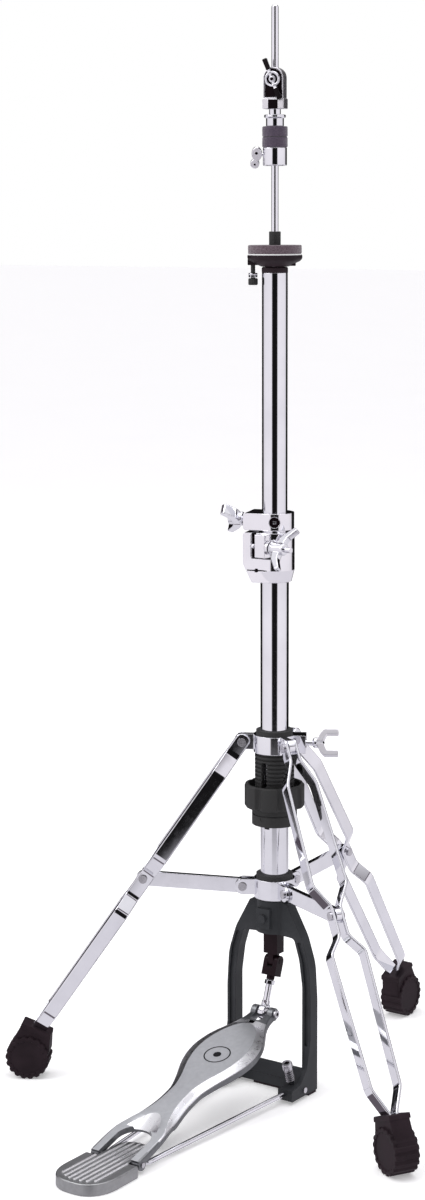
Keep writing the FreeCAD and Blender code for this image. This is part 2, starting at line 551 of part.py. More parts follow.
def make_pedal_frame():
    """The pedal frame: hub, two channelled arms, base plate, side walls and rod blocks."""
    half, inner, low = size("frame_half"), size("frame_inner"), size("base_low")
    spring, high = size("arm_spring"), size("hub_high")
    outer = [(half, low), (half, spring), (49.3, 137), (40.4, 165), (23, 196.5), (16, high)]
    outline = outer + [(-x, y) for x, y in outer[::-1]]
    radii = [0, 60, 60, 60, 4, 0]
    window = [(inner, size("base_high")), (inner, 114), (37.4, 142), (31, 163), (0, 165)]
    hole = window + [(-x, y) for x, y in window[-2::-1]]
    hole_radii = [3, 40, 40, 5, 0, 5, 40, 40, 3]
    thick = "arm_back - arm_front"
    arch = pad("XZ", [rounded(outline, radii + radii[::-1]), rounded(hole, hole_radii)], thick)
    middle = (size("arm_front") + size("arm_back")) / 2
    arch = moved(arch, (0, middle, 0))
    channels = []
    for side in (-1, 1):
        path = [(side * 46.4, 52), (side * 46.4, 112), (side * 43.4, 141), (side * 37, 160)]
        channel = pad("XZ", [strip(path, 4.6, 40)], "4")
        channels.append(moved(channel, (0, size("arm_front"), 0)))
    hub = drum("hub_radius", "hub_low", "hub_high")
    bolt_pad = block("-8", "8", "-hub_radius - 2.5", "-12", "171", "192")
    front, back, heel = size("base_front"), size("base_back"), 36
    plan = rounded([(-half, front), (half, front), (half, 2), (heel, back), (-heel, back), (-half, 2)],
                   [0, 0, 6, 6, 6, 6])
    plate = moved(pad("XY", [plan], "base_high - base_low"), (0, 0, (low + size("base_high")) / 2))
    solids = [hub, bolt_pad, plate]
    tools = [drum("lower_tube_radius + 0.05", "lower_tube_low", "hub_high + 1"),
             drum("10", "hub_low - 6", "lower_tube_low + 1"),
             bar("2.6", "20", (0, -25, 181.5), (0, 1, 0))]
    for side in (-1, 1):
        wall = pad("YZ", [rounded([(-46, low), (2, low), (2, 60), (-11, 60), (-18, 30), (-30, 17), (-46, 15)],
                                  [2, 0, 0, 0, 12, 8, 3])], "side_wall")
        solids.append(moved(wall, (side * (half - size("side_wall") / 2), 0, 0)))
        edges = sorted((side * size("block_inner"), side * half))
        solids.append(block(edges[0], edges[1], "block_front", "base_front + 1", "base_low", "block_high"))
        start, direction = rod_start(side)
        tools.append(bar("rod_wire + slide_gap", "22", start + direction * 6, (-direction).normalize()))
        tools.append(bar("3.1", "12", (side * 42.4, -22.4, 9.8), (side, 0, 0)))
        point, up = spur_place(side)
        tools.append(bar("spur_radius + slide_gap", "60", point - up * 20, up))
    node("pedal_frame", cut(fuse(arch, *solids), *channels, *tools))
    node("hub_bolt", fuse(bar("2.5", "7", (0, -21.5, 181.5), (0, 1, 0)),
                          bar("4.4", "3.2", (0, -24.7, 181.5), (0, 1, 0))))
    pads = [block(low_x, high_x, "-12", back, "0", "pad_height")
            for low_x, high_x, back in (("-18", "18", "16"), ("-50", "-36", "2"), ("36", "50", "2"))]
    node("base_pads", group(*pads))


def rod_start(side):
    """Where a radius rod leaves its block, and the direction that it runs to the heel in."""
    start = Vector(side * 41, -42, 10)
    return start, (rod_corner(side) - start).normalize()


def rod_corner(side):
    """The corner where a radius rod turns in towards the side of the heel plate's tongue."""
    return Vector(side * 23.5, size("heel_hinge_y") + 16.5, 5.2)


def spur_place(side):
    """A spur's tip, and the direction up along it."""
    lean = math.radians(size("spur_lean"))
    tip = Vector(side * size("spur_x"), size("spur_tip_y"), size("spur_tip_z"))
    return tip, Vector(0, -math.sin(lean), math.cos(lean))


def make_pedal_hardware():
    """Radius rods, the pedal's pins, and the two spring-loaded spurs that stop the pedal creeping."""
    rods, pins, springs = [], [], []
    for side in (-1, 1):
        start, direction = rod_start(side)
        turn_in = rod_corner(side)
        bends = [start - direction * 10, turn_in, turn_in - Vector(side * 13.5, 0, 0)]
        rods.append(bent_rod(size("rod_wire"), bends, 5))
        pins.append(bar("3", "10.6", (side * 42.6, -22.4, 9.8), (side, 0, 0)))
        point, up = spur_place(side)
        turn = Rotation(Vector(0, 0, 1), up)
        tip = drum("0.8", "0", "4", "spur_radius")
        shank = drum("spur_radius", "4", "spur_length")
        head = cut(drum("spur_head_radius", "spur_length", "spur_length + spur_head"),
                   drum("2.6", "spur_length + 3.5", "spur_length + spur_head + 1"))
        node(("left" if side < 0 else "right") + "_spur", moved(fuse(tip, shank, head), point, turn))
        coil = cut(drum("4.8", "17", "spur_length - 0.3"), drum("3.4", "16", "spur_length"))
        springs.append(moved(coil, point, turn))
    hinge = hinge_centre()
    pins.append(bar("hinge_pin_radius", "60", (-30, hinge.y, hinge.z), (1, 0, 0)))
    node("radius_rods", group(*rods))
    node("pedal_pins", group(*pins))
    node("spur_springs", group(*springs))


def make_heel_plate():
    """The ribbed heel plate and its tongue, bored for the hinge pin and the radius rods."""
    half, tongue = size("heel_half"), size("tongue_half")
    y, height = size("heel_hinge_y"), size("heel_height")
    outline = rounded([(-half, y - 8.5), (-half, y - 45), (-18, y - 73), (18, y - 73), (half, y - 45),
                       (half, y - 8.5), (tongue, y - 8.5), (tongue, y + 38), (-tongue, y + 38),
                       (-tongue, y - 8.5)], [3, 26, 20, 20, 26, 3, 2, 17, 17, 2])
    plate = moved(pad("XY", [outline], "heel_height"), (0, 0, height / 2))
    ribs = []
    for k in range(6):
        x = (k - 2.5) * 6.4
        reach = 62 - abs(k - 2.5) * 3
        ribs.append(block(x - 1.1, x + 1.1, y - reach, y + 34 - abs(k - 2.5) * 4, height - 1, height + 1.2))
    hinge = hinge_centre()
    boss_bar = bar("6", "2 * tongue_half", (-tongue, hinge.y, hinge.z), (1, 0, 0))
    rod_holes = [bar("rod_wire + 0.02", "14", rod_corner(side) - Vector(side * 13.7, 0, 0), (side, 0, 0))
                 for side in (-1, 1)]
    hole = bar("hinge_pin_radius + 0.02", "60", (-30, hinge.y, hinge.z), (1, 0, 0))
    node("heel_plate", cut(fuse(plate, boss_bar, *ribs), hole, *rod_holes))


def board_frame():
    """The footboard's placement: y runs up the board from the heel hinge, z out of its top."""
    origin = Vector(0, size("heel_hinge_y"), size("heel_hinge_z"))
    return Placement(origin, Rotation(Vector(1, 0, 0), size("board_tilt")))


def hinge_centre():
    """The middle of the heel hinge's pin."""
    return board_frame().multVec(Vector(0, 0, -3))


def board_outline(inset):
    """Half the footboard's outline, as points from the fork to the clevis, drawn in by an inset."""
    widths = [(36, 28), (64, 23), (90, 18.6), (114, 18.2), (131, 23.5), (150, 31), (172, 36.4),
              (190, 36.6), (206, 32), (222, 24), (238, 16), (252, 13)]
    return [Vector(width - inset, along_board, 0) for along_board, width in widths]


def board_plate(inset, low, high, start, end):
    """A slab with the footboard's outline between two ends, from low to high."""
    right = [point for point in board_outline(inset) if start < point.y < end]
    right = [Vector(right[0].x + 0.5, start, 0)] + right + [Vector(right[-1].x - 0.5, end, 0)]
    curve = Part.BSplineCurve()
    curve.interpolate(right)
    mirror = Part.BSplineCurve()
    mirror.interpolate([Vector(-p.x, p.y, 0) for p in right])
    first, last = right[0], right[-1]
    edges = [curve.toShape(), mirror.toShape(),
             Part.makeLine(Vector(-first.x, first.y, 0), first),
             Part.makeLine(Vector(-last.x, last.y, 0), last)]
    face = Part.Face(Part.Wire(Part.__sortEdges__(edges)))
    made = doc.addObject("Part::Feature", "Slab")
    made.Shape = face.extrude(Vector(0, 0, high - low))
    made.Placement = Placement(Vector(0, 0, low), Rotation())
    return made


def make_footboard():
    """The cast footboard, hollow below, with its heel fork, clevis window and clevis pin."""
    top, depth, skin = size("board_top"), size("board_depth"), size("board_skin")
    length = size("board_length")
    slab = board_plate(0, top - depth, top, -4, length + 6)
    hollow = board_plate(skin, top - depth - 1, top - skin, 64, length - 24)
    thin = block("-40", "40", "-10", "62", top - depth - 1, top - depth + 3.4)
    notch = block("-tongue_half - 0.6", "tongue_half + 0.6", "-20", "31", "-20", "20")
    notch_end = bar("tongue_half + 0.6", "40", (0, 24, -20), (0, 0, 1))
    barrel = bar("5.6", "56", (-28, 0, -3), (1, 0, 0))
    pin_way = bar("hinge_pin_radius + slide_gap", "80", (-40, 0, -3), (1, 0, 0))
    window = block("-6.6", "6.6", length - 17, length + 20, "-20", "20")
    clevis = bar("6.5", "2 * clevis_half", (-size("clevis_half"), length, -1), (1, 0, 0))
    pin_hole = bar("clevis_pin_radius + 0.02", "60", (-30, length, 0), (1, 0, 0))
    square = block("-2.2", "2.2", length - 24, length - 19.5, "-20", "20")
    board = cut(fuse(cut(slab, hollow, thin), barrel, clevis), notch, notch_end, pin_way, window, pin_hole,
                square)
    holder = group(board)
    holder.Placement = board_frame()
    node("footboard", holder)
    pin = fuse(bar("clevis_pin_radius", "29", (-14.5, length, 0), (1, 0, 0)),
               bar("4.2", "3", (13.2, length, 0), (1, 0, 0)))
    holder = group(pin)
    holder.Placement = board_frame()
    node("clevis_pin", holder)


def make_link():
    """The drive link between the pull rod's end and the footboard: a fork, a rod and an eye."""
    turn = Rotation(Vector(1, 0, 0), -size("link_tilt"))
    point = (0, size("link_pivot_y"), size("link_pivot_z"))
    cheeks = block("-link_half", "link_half", "-6", "6", "-15.5", "0")
    cap = bar("6", "2 * link_half", (-size("link_half"), 0, 0), (1, 0, 0))
    gap = block("-3.3", "3.3", "-8", "8", "-7", "20")
    pin = bar("pivot_pin_radius", "2 * link_half + 0.6", (-size("link_half") - 0.3, 0, 0), (1, 0, 0))
    neck = drum("4.2", "-19.5", "-15.5")
    node("link_fork", moved(fuse(cut(fuse(cheeks, cap, neck), gap), pin), point, turn))
    rod = drum("rod_radius", "-link_length + 6", "-19.5")
    eye = bar("eye_radius", "11", (-5.5, 0, -size("link_length")), (1, 0, 0))
    bore = bar("eye_bore", "20", (-10, 0, -size("link_length")), (1, 0, 0))
    node("link_eye_rod", moved(cut(fuse(rod, eye), bore), point, turn))


def check_document():
    """Stop on any object that failed, or any sub-part that isn't a valid solid."""
    doc.recompute()
    for made in doc.Objects:
        if {"Invalid", "Error"} & set(made.State):
            raise RuntimeError(f"{made.Label} failed: {made.State}")
    for made in nodes:
        shape = made.Shape
        if shape.isNull() or not shape.isValid() or not shape.Solids:
            raise RuntimeError(f"{made.Label} has no valid solid")


def write_parts():
    """Write each sub-part's shape to its own file."""
    os.makedirs("parts", exist_ok=True)
    for made in nodes:
        made.Shape.exportStep(f"parts/{made.Label}.step")
        print(f"{made.Label}: {len(made.Shape.Solids)} solid(s), {made.Shape.Volume / 1000:.2f} cm3")
    print(f"{len(nodes)} sub-parts")


make_tubes()
make_pull_rod()
make_spring()
make_sleeve_and_knob()
make_collars()
make_legs()
make_wings()
make_clamps()
make_seat()
make_clutch()
make_pedal_frame()
make_pedal_hardware()
make_heel_plate()
make_footboard()
make_link()
check_document()
write_parts()
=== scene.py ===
"""A hi-hat stand: its looks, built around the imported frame.

Every length is in millimetres until a piece is finished, and in metres after that.
+Z is up, the origin is on the tube's axis at floor level, and the pedal points to -Y.
"""

from __future__ import annotations

import json
import logging
import math
from dataclasses import dataclass
from enum import Enum
from typing import Iterable, Sequence

import bmesh
import bpy
from mathutils import Matrix, Vector


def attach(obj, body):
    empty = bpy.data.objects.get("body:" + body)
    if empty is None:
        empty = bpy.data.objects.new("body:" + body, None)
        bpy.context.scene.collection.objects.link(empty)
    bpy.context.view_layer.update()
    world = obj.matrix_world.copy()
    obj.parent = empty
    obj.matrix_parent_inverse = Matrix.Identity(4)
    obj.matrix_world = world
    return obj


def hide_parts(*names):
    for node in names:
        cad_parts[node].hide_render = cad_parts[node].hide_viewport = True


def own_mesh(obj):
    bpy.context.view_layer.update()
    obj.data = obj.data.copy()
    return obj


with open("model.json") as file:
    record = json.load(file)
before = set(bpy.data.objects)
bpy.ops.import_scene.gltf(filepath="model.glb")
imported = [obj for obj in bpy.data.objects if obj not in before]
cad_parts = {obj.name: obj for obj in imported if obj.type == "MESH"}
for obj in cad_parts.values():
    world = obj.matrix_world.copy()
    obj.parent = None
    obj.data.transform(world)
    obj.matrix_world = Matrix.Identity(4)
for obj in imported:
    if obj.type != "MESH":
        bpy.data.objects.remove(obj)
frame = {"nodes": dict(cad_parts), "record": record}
log = logging.getLogger("hi_hat_stand")

MM = 0.001
FULL = 2 * math.pi
SIDES = (1, -1)
UPRIGHT = Matrix.Rotation(math.pi / 2, 4, "X")

Point = tuple[float, float, float]
Flat = tuple[float, float]
Socket = bpy.types.NodeSocket


# ---------------------------------------------------------------- finishes


class Nodes:
    """An emptied node tree, with short calls that add, set and join its nodes."""

    def __init__(self, owner: bpy.types.Material | bpy.types.World) -> None:
        """Empty a tree.

        Args:
            owner: the material or the world that it belongs to.
        """
        owner.use_nodes = True
        self.tree = owner.node_tree
        self.tree.nodes.clear()

    def add(self, kind: str, **values: object) -> bpy.types.Node:
        """Add a node and set it.

        Args:
            kind: its type's name, without the start that all share.
            values: its settings and its sockets' values, with _ for each space.

        Returns:
            The node.
        """
        made = self.tree.nodes.new("ShaderNode" + kind)
        for key, value in values.items():
            socket = key.replace("_", " ")
            if socket in made.inputs:
                made.inputs[socket].default_value = value
            else:
                setattr(made, key, value)
        return made

    def join(self, source: Socket, target: Socket) -> None:
        """Link an output socket to an input socket."""
        self.tree.links.new(source, target)

    def ramp(self, factor: Socket, stops: Sequence[tuple[float, Point]]) -> Socket:
        """Colours along a factor.

        Args:
            factor: the factor that picks the colour.
            stops: each stop's place and colour.

        Returns:
            The colour.
        """
        made = self.add("ValToRGB")
        elements = made.color_ramp.elements
        while len(elements) < len(stops):
            elements.new(0.5)
        for element, (place, colour) in zip(elements, stops):
            element.position, element.color = place, (*colour, 1.0)
        self.join(factor, made.inputs["Fac"])
        return made.outputs["Color"]

    def remap(self, factor: Socket, low: float, high: float, start: float = 0.3,
              end: float = 0.7) -> Socket:
        """A factor spread over another range.

        Args:
            factor: the factor.
            low: the value at start.
            high: the value at end.
            start: the factor that gives low.
            end: the factor that gives high.

        Returns:
            The new value.
        """
        made = self.add("MapRange", From_Min=start, From_Max=end, To_Min=low, To_Max=high)
        self.join(factor, made.inputs["Value"])
        return made.outputs[0]

    def blend(self, factor: Socket, first: Socket, second: Point) -> Socket:
        """A mix of a linked colour and a fixed one.

        Args:
            factor: how much of the fixed colour shows.
            first: the linked colour.
            second: the fixed colour.

        Returns:
            The mixed colour.
        """
        made = self.add("Mix", data_type="RGBA")
        self.join(factor, made.inputs[0])
        self.join(first, made.inputs[6])
        made.inputs[7].default_value = (*second, 1.0)
        return made.outputs[2]


class Wiring(Nodes):
    """The nodes of one material: a Principled shader and what feeds it."""

    def __init__(self, name: str, **values: object) -> None:
        """Start a material.

        Args:
            name: its name.
            values: uniform values of the shader's own sockets.
        """
        self.material = bpy.data.materials.new(name)
        super().__init__(self.material)
        self.shader = self.add("BsdfPrincipled", **values)
        self.join(self.shader.outputs[0], self.add("OutputMaterial").inputs["Surface"])
        self.place = self.add("TexCoord").outputs["Object"]

    def feed(self, **sources: Socket) -> bpy.types.Material:
        """Link sockets to the shader's inputs.

        Args:
            sources: the source of each input, with _ for each space in its name.

        Returns:
            The material.
        """
        for key, source in sources.items():
            self.join(source, self.shader.inputs[key.replace("_", " ")])
        return self.material

    def noise(self, per_metre: float, detail: float = 3.0, rough: float = 0.55,
              stretch: Point = (1.0, 1.0, 1.0)) -> Socket:
        """Cloudy noise on the piece.

        Args:
            per_metre: how many blotches fit in a metre.
            detail: how many finer layers it has.
            rough: how strong the finer layers are.
            stretch: a further scale on each axis.

        Returns:
            A factor from 0 to 1.
        """
        mapping = self.add("Mapping", Scale=stretch)
        self.join(self.place, mapping.inputs["Vector"])
        made = self.add("TexNoise", Scale=per_metre, Detail=detail, Roughness=rough)
        self.join(mapping.outputs[0], made.inputs["Vector"])
        return made.outputs[0]

    def bump(self, height: Socket, depth: float, edge: float = 0.0) -> Socket:
        """Small relief, over hard edges that seem softened.

        Args:
            height: the relief's height from 0 to 1.
            depth: its depth in millimetres.
            edge: the radius that hard edges seem to have in millimetres, or 0.

        Returns:
            The normal.
        """
        made = self.add("Bump", Distance=depth * MM, Strength=1.0)
        self.join(height, made.inputs["Height"])
        if edge:
            soft = self.add("Bevel", samples=6, Radius=edge * MM)
            self.join(soft.outputs[0], made.inputs["Normal"])
        return made.outputs[0]


@dataclass(frozen=True)
class Metal:
    """A bare or plated metal: how bright, how smooth, and how fine its grain is."""

    name: str
    dark: Point
    bright: Point
    smooth: float
    dull: float
    grain: float = 90.0
    relief: float = 0.004
    edge: float = 0.35

    def material(self) -> bpy.types.Material:
        """Build the material.

        Returns:
            The finished material.
        """
        wiring = Wiring(self.name, Metallic=1.0)
        clouds, fine = wiring.noise(self.grain, 4.0), wiring.noise(self.grain * 7, 2.0)
        return wiring.feed(Base_Color=wiring.ramp(clouds, [(0.3, self.dark), (0.7, self.bright)]),
                           Roughness=wiring.remap(fine, self.smooth, self.dull),
                           Normal=wiring.bump(fine, self.relief, self.edge))


@dataclass(frozen=True)
class Moulded:
    """A painted, plastic or rubber surface with a slightly uneven skin."""

    name: str
    dark: Point
    light: Point
    smooth: float
    dull: float
    grain: float = 900.0
    relief: float = 0.03
    edge: float = 0.4
    gloss: float = 0.5
    index: float = 1.45

    def material(self) -> bpy.types.Material:
        """Build the material.

        Returns:
            The finished material.
        """
        wiring = Wiring(self.name, Specular_IOR_Level=self.gloss, IOR=self.index)
        skin, patches = wiring.noise(self.grain), wiring.noise(35.0)
        return wiring.feed(Base_Color=wiring.ramp(patches, [(0.3, self.dark), (0.7, self.light)]),
                           Roughness=wiring.remap(patches, self.smooth, self.dull),
                           Normal=wiring.bump(skin, self.relief, self.edge))


@dataclass(frozen=True)
class Felt:
    """Pressed wool felt: matted fibres in three close colours."""

    name: str
    dark: Point
    middle: Point
    light: Point
    tuft: float = 900.0

    def material(self) -> bpy.types.Material:
        """Build the material.

        Returns:
            The finished material.
        """
        wiring = Wiring(self.name, Roughness=0.95, Specular_IOR_Level=0.15, Sheen_Weight=0.35,
                        Sheen_Roughness=0.5)
        both = wiring.add("Math", operation="ADD")
        wiring.join(wiring.noise(self.tuft, 5.0, 0.7, (1.0, 1.0, 2.2)), both.inputs[0])
        wiring.join(wiring.noise(self.tuft * 2.6, 2.0, 0.8), both.inputs[1])
        wool = wiring.remap(both.outputs[0], 0.0, 1.0, 0.0, 2.0)
        stops = [(0.38, self.dark), (0.5, self.middle), (0.62, self.light)]
        return wiring.feed(Base_Color=wiring.ramp(wool, stops), Normal=wiring.bump(wool, 0.5))


class Finish(Enum):
    """The stand's finishes, each built once."""

    CHROME = Metal("chrome_plate", (0.74, 0.74, 0.78), (0.82, 0.82, 0.86), 0.03, 0.07, 25.0,
                   0.0006, 0.8)
    STEEL = Metal("bright_steel", (0.50, 0.49, 0.52), (0.64, 0.63, 0.66), 0.14, 0.28, 160.0, 0.003)
    WIRE = Metal("spring_wire", (0.36, 0.35, 0.38), (0.52, 0.51, 0.54), 0.16, 0.30, 220.0, 0.003)
    PLATED = Metal("plated_casting", (0.78, 0.77, 0.81), (0.84, 0.83, 0.87), 0.06, 0.12, 30.0,
                   0.0008, 1.0)
    SATIN = Metal("satin_plate", (0.84, 0.83, 0.86), (0.90, 0.89, 0.92), 0.30, 0.36, 60.0, 0.001,
                  0.8)
    # Cast aluminium darkened as painted shade: the footboard's sides, underside, far end and cut
    # walls take it, and so do the barrels and lugs under the board.
    CAST = Metal("cast_aluminium_painted_shade", (0.17, 0.175, 0.185), (0.22, 0.225, 0.235), 0.34, 0.42,
                 260.0)
    PANEL = Metal("satin_panel", (0.47, 0.48, 0.50), (0.53, 0.54, 0.56), 0.34, 0.40, 200.0, 0.003)
    # The footboard's polished rim and heel scoop: smoother than its top, and brighter in colour as
    # a painted highlight.
    POLISHED_LIT = Metal("polished_aluminium_painted_highlight", (0.66, 0.66, 0.68), (0.74, 0.74, 0.76), 0.26, 0.32,
                     30.0, 0.0006)
    HEEL = Metal("satin_heel_aluminium", (0.32, 0.325, 0.33), (0.38, 0.385, 0.39), 0.34, 0.42,
                 240.0)
    RIB = Metal("bright_rib", (0.80, 0.80, 0.81), (0.88, 0.88, 0.89), 0.26, 0.34, 60.0, 0.0008)
    PAINT = Moulded("charcoal_powder_coat", (0.022, 0.024, 0.027), (0.036, 0.038, 0.042), 0.34,
                    0.46, 1400.0, 0.020, 0.7, index=1.25)
    RUBBER = Moulded("dark_rubber", (0.012, 0.006, 0.009), (0.024, 0.014, 0.019), 0.50, 0.66,
                     1100.0, 0.030, 0.6, index=1.25)
    PLASTIC = Moulded("black_plastic", (0.003, 0.001, 0.002), (0.008, 0.004, 0.005), 0.16, 0.26,
                      1500.0, 0.004, index=1.2)
    CUP = Moulded("satin_black_plastic", (0.010, 0.006, 0.008), (0.028, 0.018, 0.023), 0.38, 0.52,
                  1500.0, 0.012, index=1.2)
    NYLON = Moulded("black_nylon", (0.003, 0.001, 0.002), (0.008, 0.005, 0.007), 0.20, 0.30,
                    1200.0, 0.004, index=1.18)
    LINK = Moulded("satin_black_coating", (0.007, 0.002, 0.004), (0.016, 0.007, 0.010), 0.26, 0.36,
                   1300.0, 0.006, index=1.2)
    GRIP = Moulded("grip_rubber", (0.004, 0.002, 0.003), (0.008, 0.005, 0.006), 0.35, 0.50, 1300.0,
                   0.010, index=1.2)
    # Painted shade: a near-black finish laid in holes, sockets, slits, seams and the clutch's
    # recess, where there is only shade.
    HOLLOW_SHADE = Moulded("painted_hollow_shade", (0.003, 0.001, 0.002), (0.008, 0.003, 0.005), 0.35, 0.50,
                     1300.0, 0.010, index=1.15)
    # The black of the printed ring and dot; it is also painted shade on the walls of the
    # footboard's square hole.
    MARK = Moulded("black_mark_and_hole_shade", (0.005, 0.005, 0.006), (0.010, 0.010, 0.012), 0.40, 0.55, 1300.0,
                   0.004, 0.1, index=1.2)
    SEAT_FELT = Felt("mottled_seat_felt", (0.045, 0.026, 0.034), (0.105, 0.074, 0.090),
                     (0.21, 0.165, 0.19))
    CLUTCH_FELT = Felt("mottled_clutch_felt", (0.026, 0.019, 0.033), (0.066, 0.050, 0.076),
                       (0.145, 0.115, 0.155))
    WASHER = Moulded("pale_washer", (0.70, 0.70, 0.70), (0.80, 0.80, 0.80), 0.40, 0.50,
                     relief=0.006)

    @property
    def paint(self) -> bpy.types.Material:
        """The finish's material, built the first time that it's asked for."""
        return bpy.data.materials.get(self.value.name) or self.value.material()


SLOT_FINISH = {
    "chrome": Finish.CHROME, "steel": Finish.STEEL, "spring_steel": Finish.WIRE,
    "rubber": Finish.RUBBER, "black_plastic": Finish.PLASTIC, "black_nylon": Finish.NYLON,
    "black_link": Finish.LINK, "frame_paint": Finish.PAINT, "cast_aluminium": Finish.CAST,
    "heel_aluminium": Finish.HEEL, "seat_felt": Finish.SEAT_FELT,
    "clutch_felt": Finish.CLUTCH_FELT, "pale_washer": Finish.WASHER,
}
NODE_FINISH = {
    "height_clamp": Finish.PLATED, "memory_lock": Finish.PLATED, "clamp_eye_bolt": Finish.PLATED,
    "spring_seat": Finish.PLASTIC, "hub_bolt": Finish.PAINT,
}


# ---------------------------------------------------------------- studio


def shown(name: str, data: bpy.types.ID) -> bpy.types.Object:
    """Put data in the scene as a new object.

    Args:
        name: the object's name.
        data: its mesh, camera or lamp.

    Returns:
        The object.
    """
    made = bpy.data.objects.new(name, data)
    bpy.context.scene.collection.objects.link(made)
    return made


def aimed(place: Point, way: Vector) -> Matrix:
    """A placement at a point, looking a given way."""
    return Matrix.Translation(place) @ way.to_track_quat("-Z", "Y").to_matrix().to_4x4()


@dataclass
class Studio:
    """The camera, the floor and the soft light."""

    eye: Point = (1.2771, -1.9238, 0.8918)
    view: Point = (-0.5676, 0.8068, -0.1638)
    roll: float = -0.217
    lens: float = 69.88
    floor_half: float = 30.0
    front_azimuth: float = 33.1
    walls: tuple[Flat, ...] = ((0.0, 0.006), (0.235, 0.012), (0.30, 0.86), (0.5, 0.97),
                               (0.90, 1.0), (0.945, 0.97), (0.963, 0.014), (1.0, 0.008))
    bands: tuple[tuple[float, float, Point], ...] = (
        (0.40, 0.43, (0.10, 0.08, 0.10)), (0.54, 0.58, (0.95, 0.94, 0.97)),
        (-0.222, -0.285, (0.84, 0.82, 0.87)), (-0.66, -0.68, (0.14, 0.12, 0.14)),
        (-0.76, -0.80, (0.84, 0.82, 0.87)))
    lamps: tuple[tuple[str, Point, Point, float, float], ...] = (
        ("key_lamp", (-1.3, -1.6, 2.4), (0.0, 0.0, 0.5), 1.6, 26.0),
        ("top_lamp", (0.2, 0.3, 3.0), (0.0, 0.0, 0.3), 2.2, 24.0))

    def build(self) -> None:
        """Set the camera, the floor, the tent and the lamps."""
        self.set_camera()
        self.lay_floor()
        self.raise_tent()
        for name, place, aim, size, power in self.lamps:
            data = bpy.data.lights.new(name, "AREA")
            data.size, data.energy = size, power
            shown(name, data).matrix_world = aimed(place, Vector(aim) - Vector(place))

    def set_camera(self) -> None:
        """Place the camera at the viewing angle."""
        data = bpy.data.cameras.new("camera")
        data.lens, data.sensor_width = self.lens, 36.0
        data.clip_start, data.clip_end = 0.01, 100.0
        camera = shown("camera", data)
        tilt = Matrix.Rotation(math.radians(self.roll), 4, "Z")
        camera.matrix_world = aimed(self.eye, Vector(self.view)) @ tilt
        bpy.context.scene.camera = camera

    def lay_floor(self) -> None:
        """Lay the plain pale floor."""
        work = bmesh.new()
        bmesh.ops.create_grid(work, x_segments=1, y_segments=1, size=self.floor_half)
        data = bpy.data.meshes.new("floor")
        work.to_mesh(data)
        work.free()
        wiring = Wiring("pale_floor", Roughness=0.9, Specular_IOR_Level=0.1,
                        Emission_Color=(1, 1, 1, 1), Emission_Strength=0.3)
        pale = [(0.3, (0.90, 0.90, 0.90)), (0.7, (0.92, 0.92, 0.92))]
        data.materials.append(wiring.feed(Base_Color=wiring.ramp(wiring.noise(2.0, 2.0), pale)))
        floor = shown("floor", data)
        floor.visible_glossy = False

    def raise_tent(self) -> None:
        """Light the stand from a white tent with dark gaps, plain white to the eye."""
        world = bpy.data.worlds.new("tent")
        bpy.context.scene.world = world
        nodes = Nodes(world)
        turn = math.radians(self.front_azimuth)
        way = nodes.add("TexCoord").outputs["Generated"]
        ahead = nodes.add("VectorMath", operation="DOT_PRODUCT")
        ahead.inputs[1].default_value = (math.sin(turn), -math.cos(turn), 0.0)
        nodes.join(way, ahead.inputs[0])
        half = nodes.remap(ahead.outputs["Value"], 0.0, 1.0, -1.0, 1.0)
        colour = nodes.ramp(half, [(place, (level, level * 0.97, level * 1.01))
                                   for place, level in self.walls])
        split = nodes.add("SeparateXYZ")
        nodes.join(way, split.inputs[0])
        for start, end, shade in self.bands:
            level = nodes.remap(split.outputs["Z"], 0.0, 1.0, start, end)
            colour = nodes.blend(level, colour, shade)
        seen = nodes.add("LightPath").outputs["Is Camera Ray"]
        background = nodes.add("Background", Strength=1.0)
        nodes.join(nodes.blend(seen, colour, (1.0, 1.0, 1.0)), background.inputs["Color"])
        nodes.join(background.outputs[0], nodes.add("OutputWorld").inputs["Surface"])
        bpy.context.scene.view_settings.view_transform = "Standard"


# ---------------------------------------------------------------- shaping


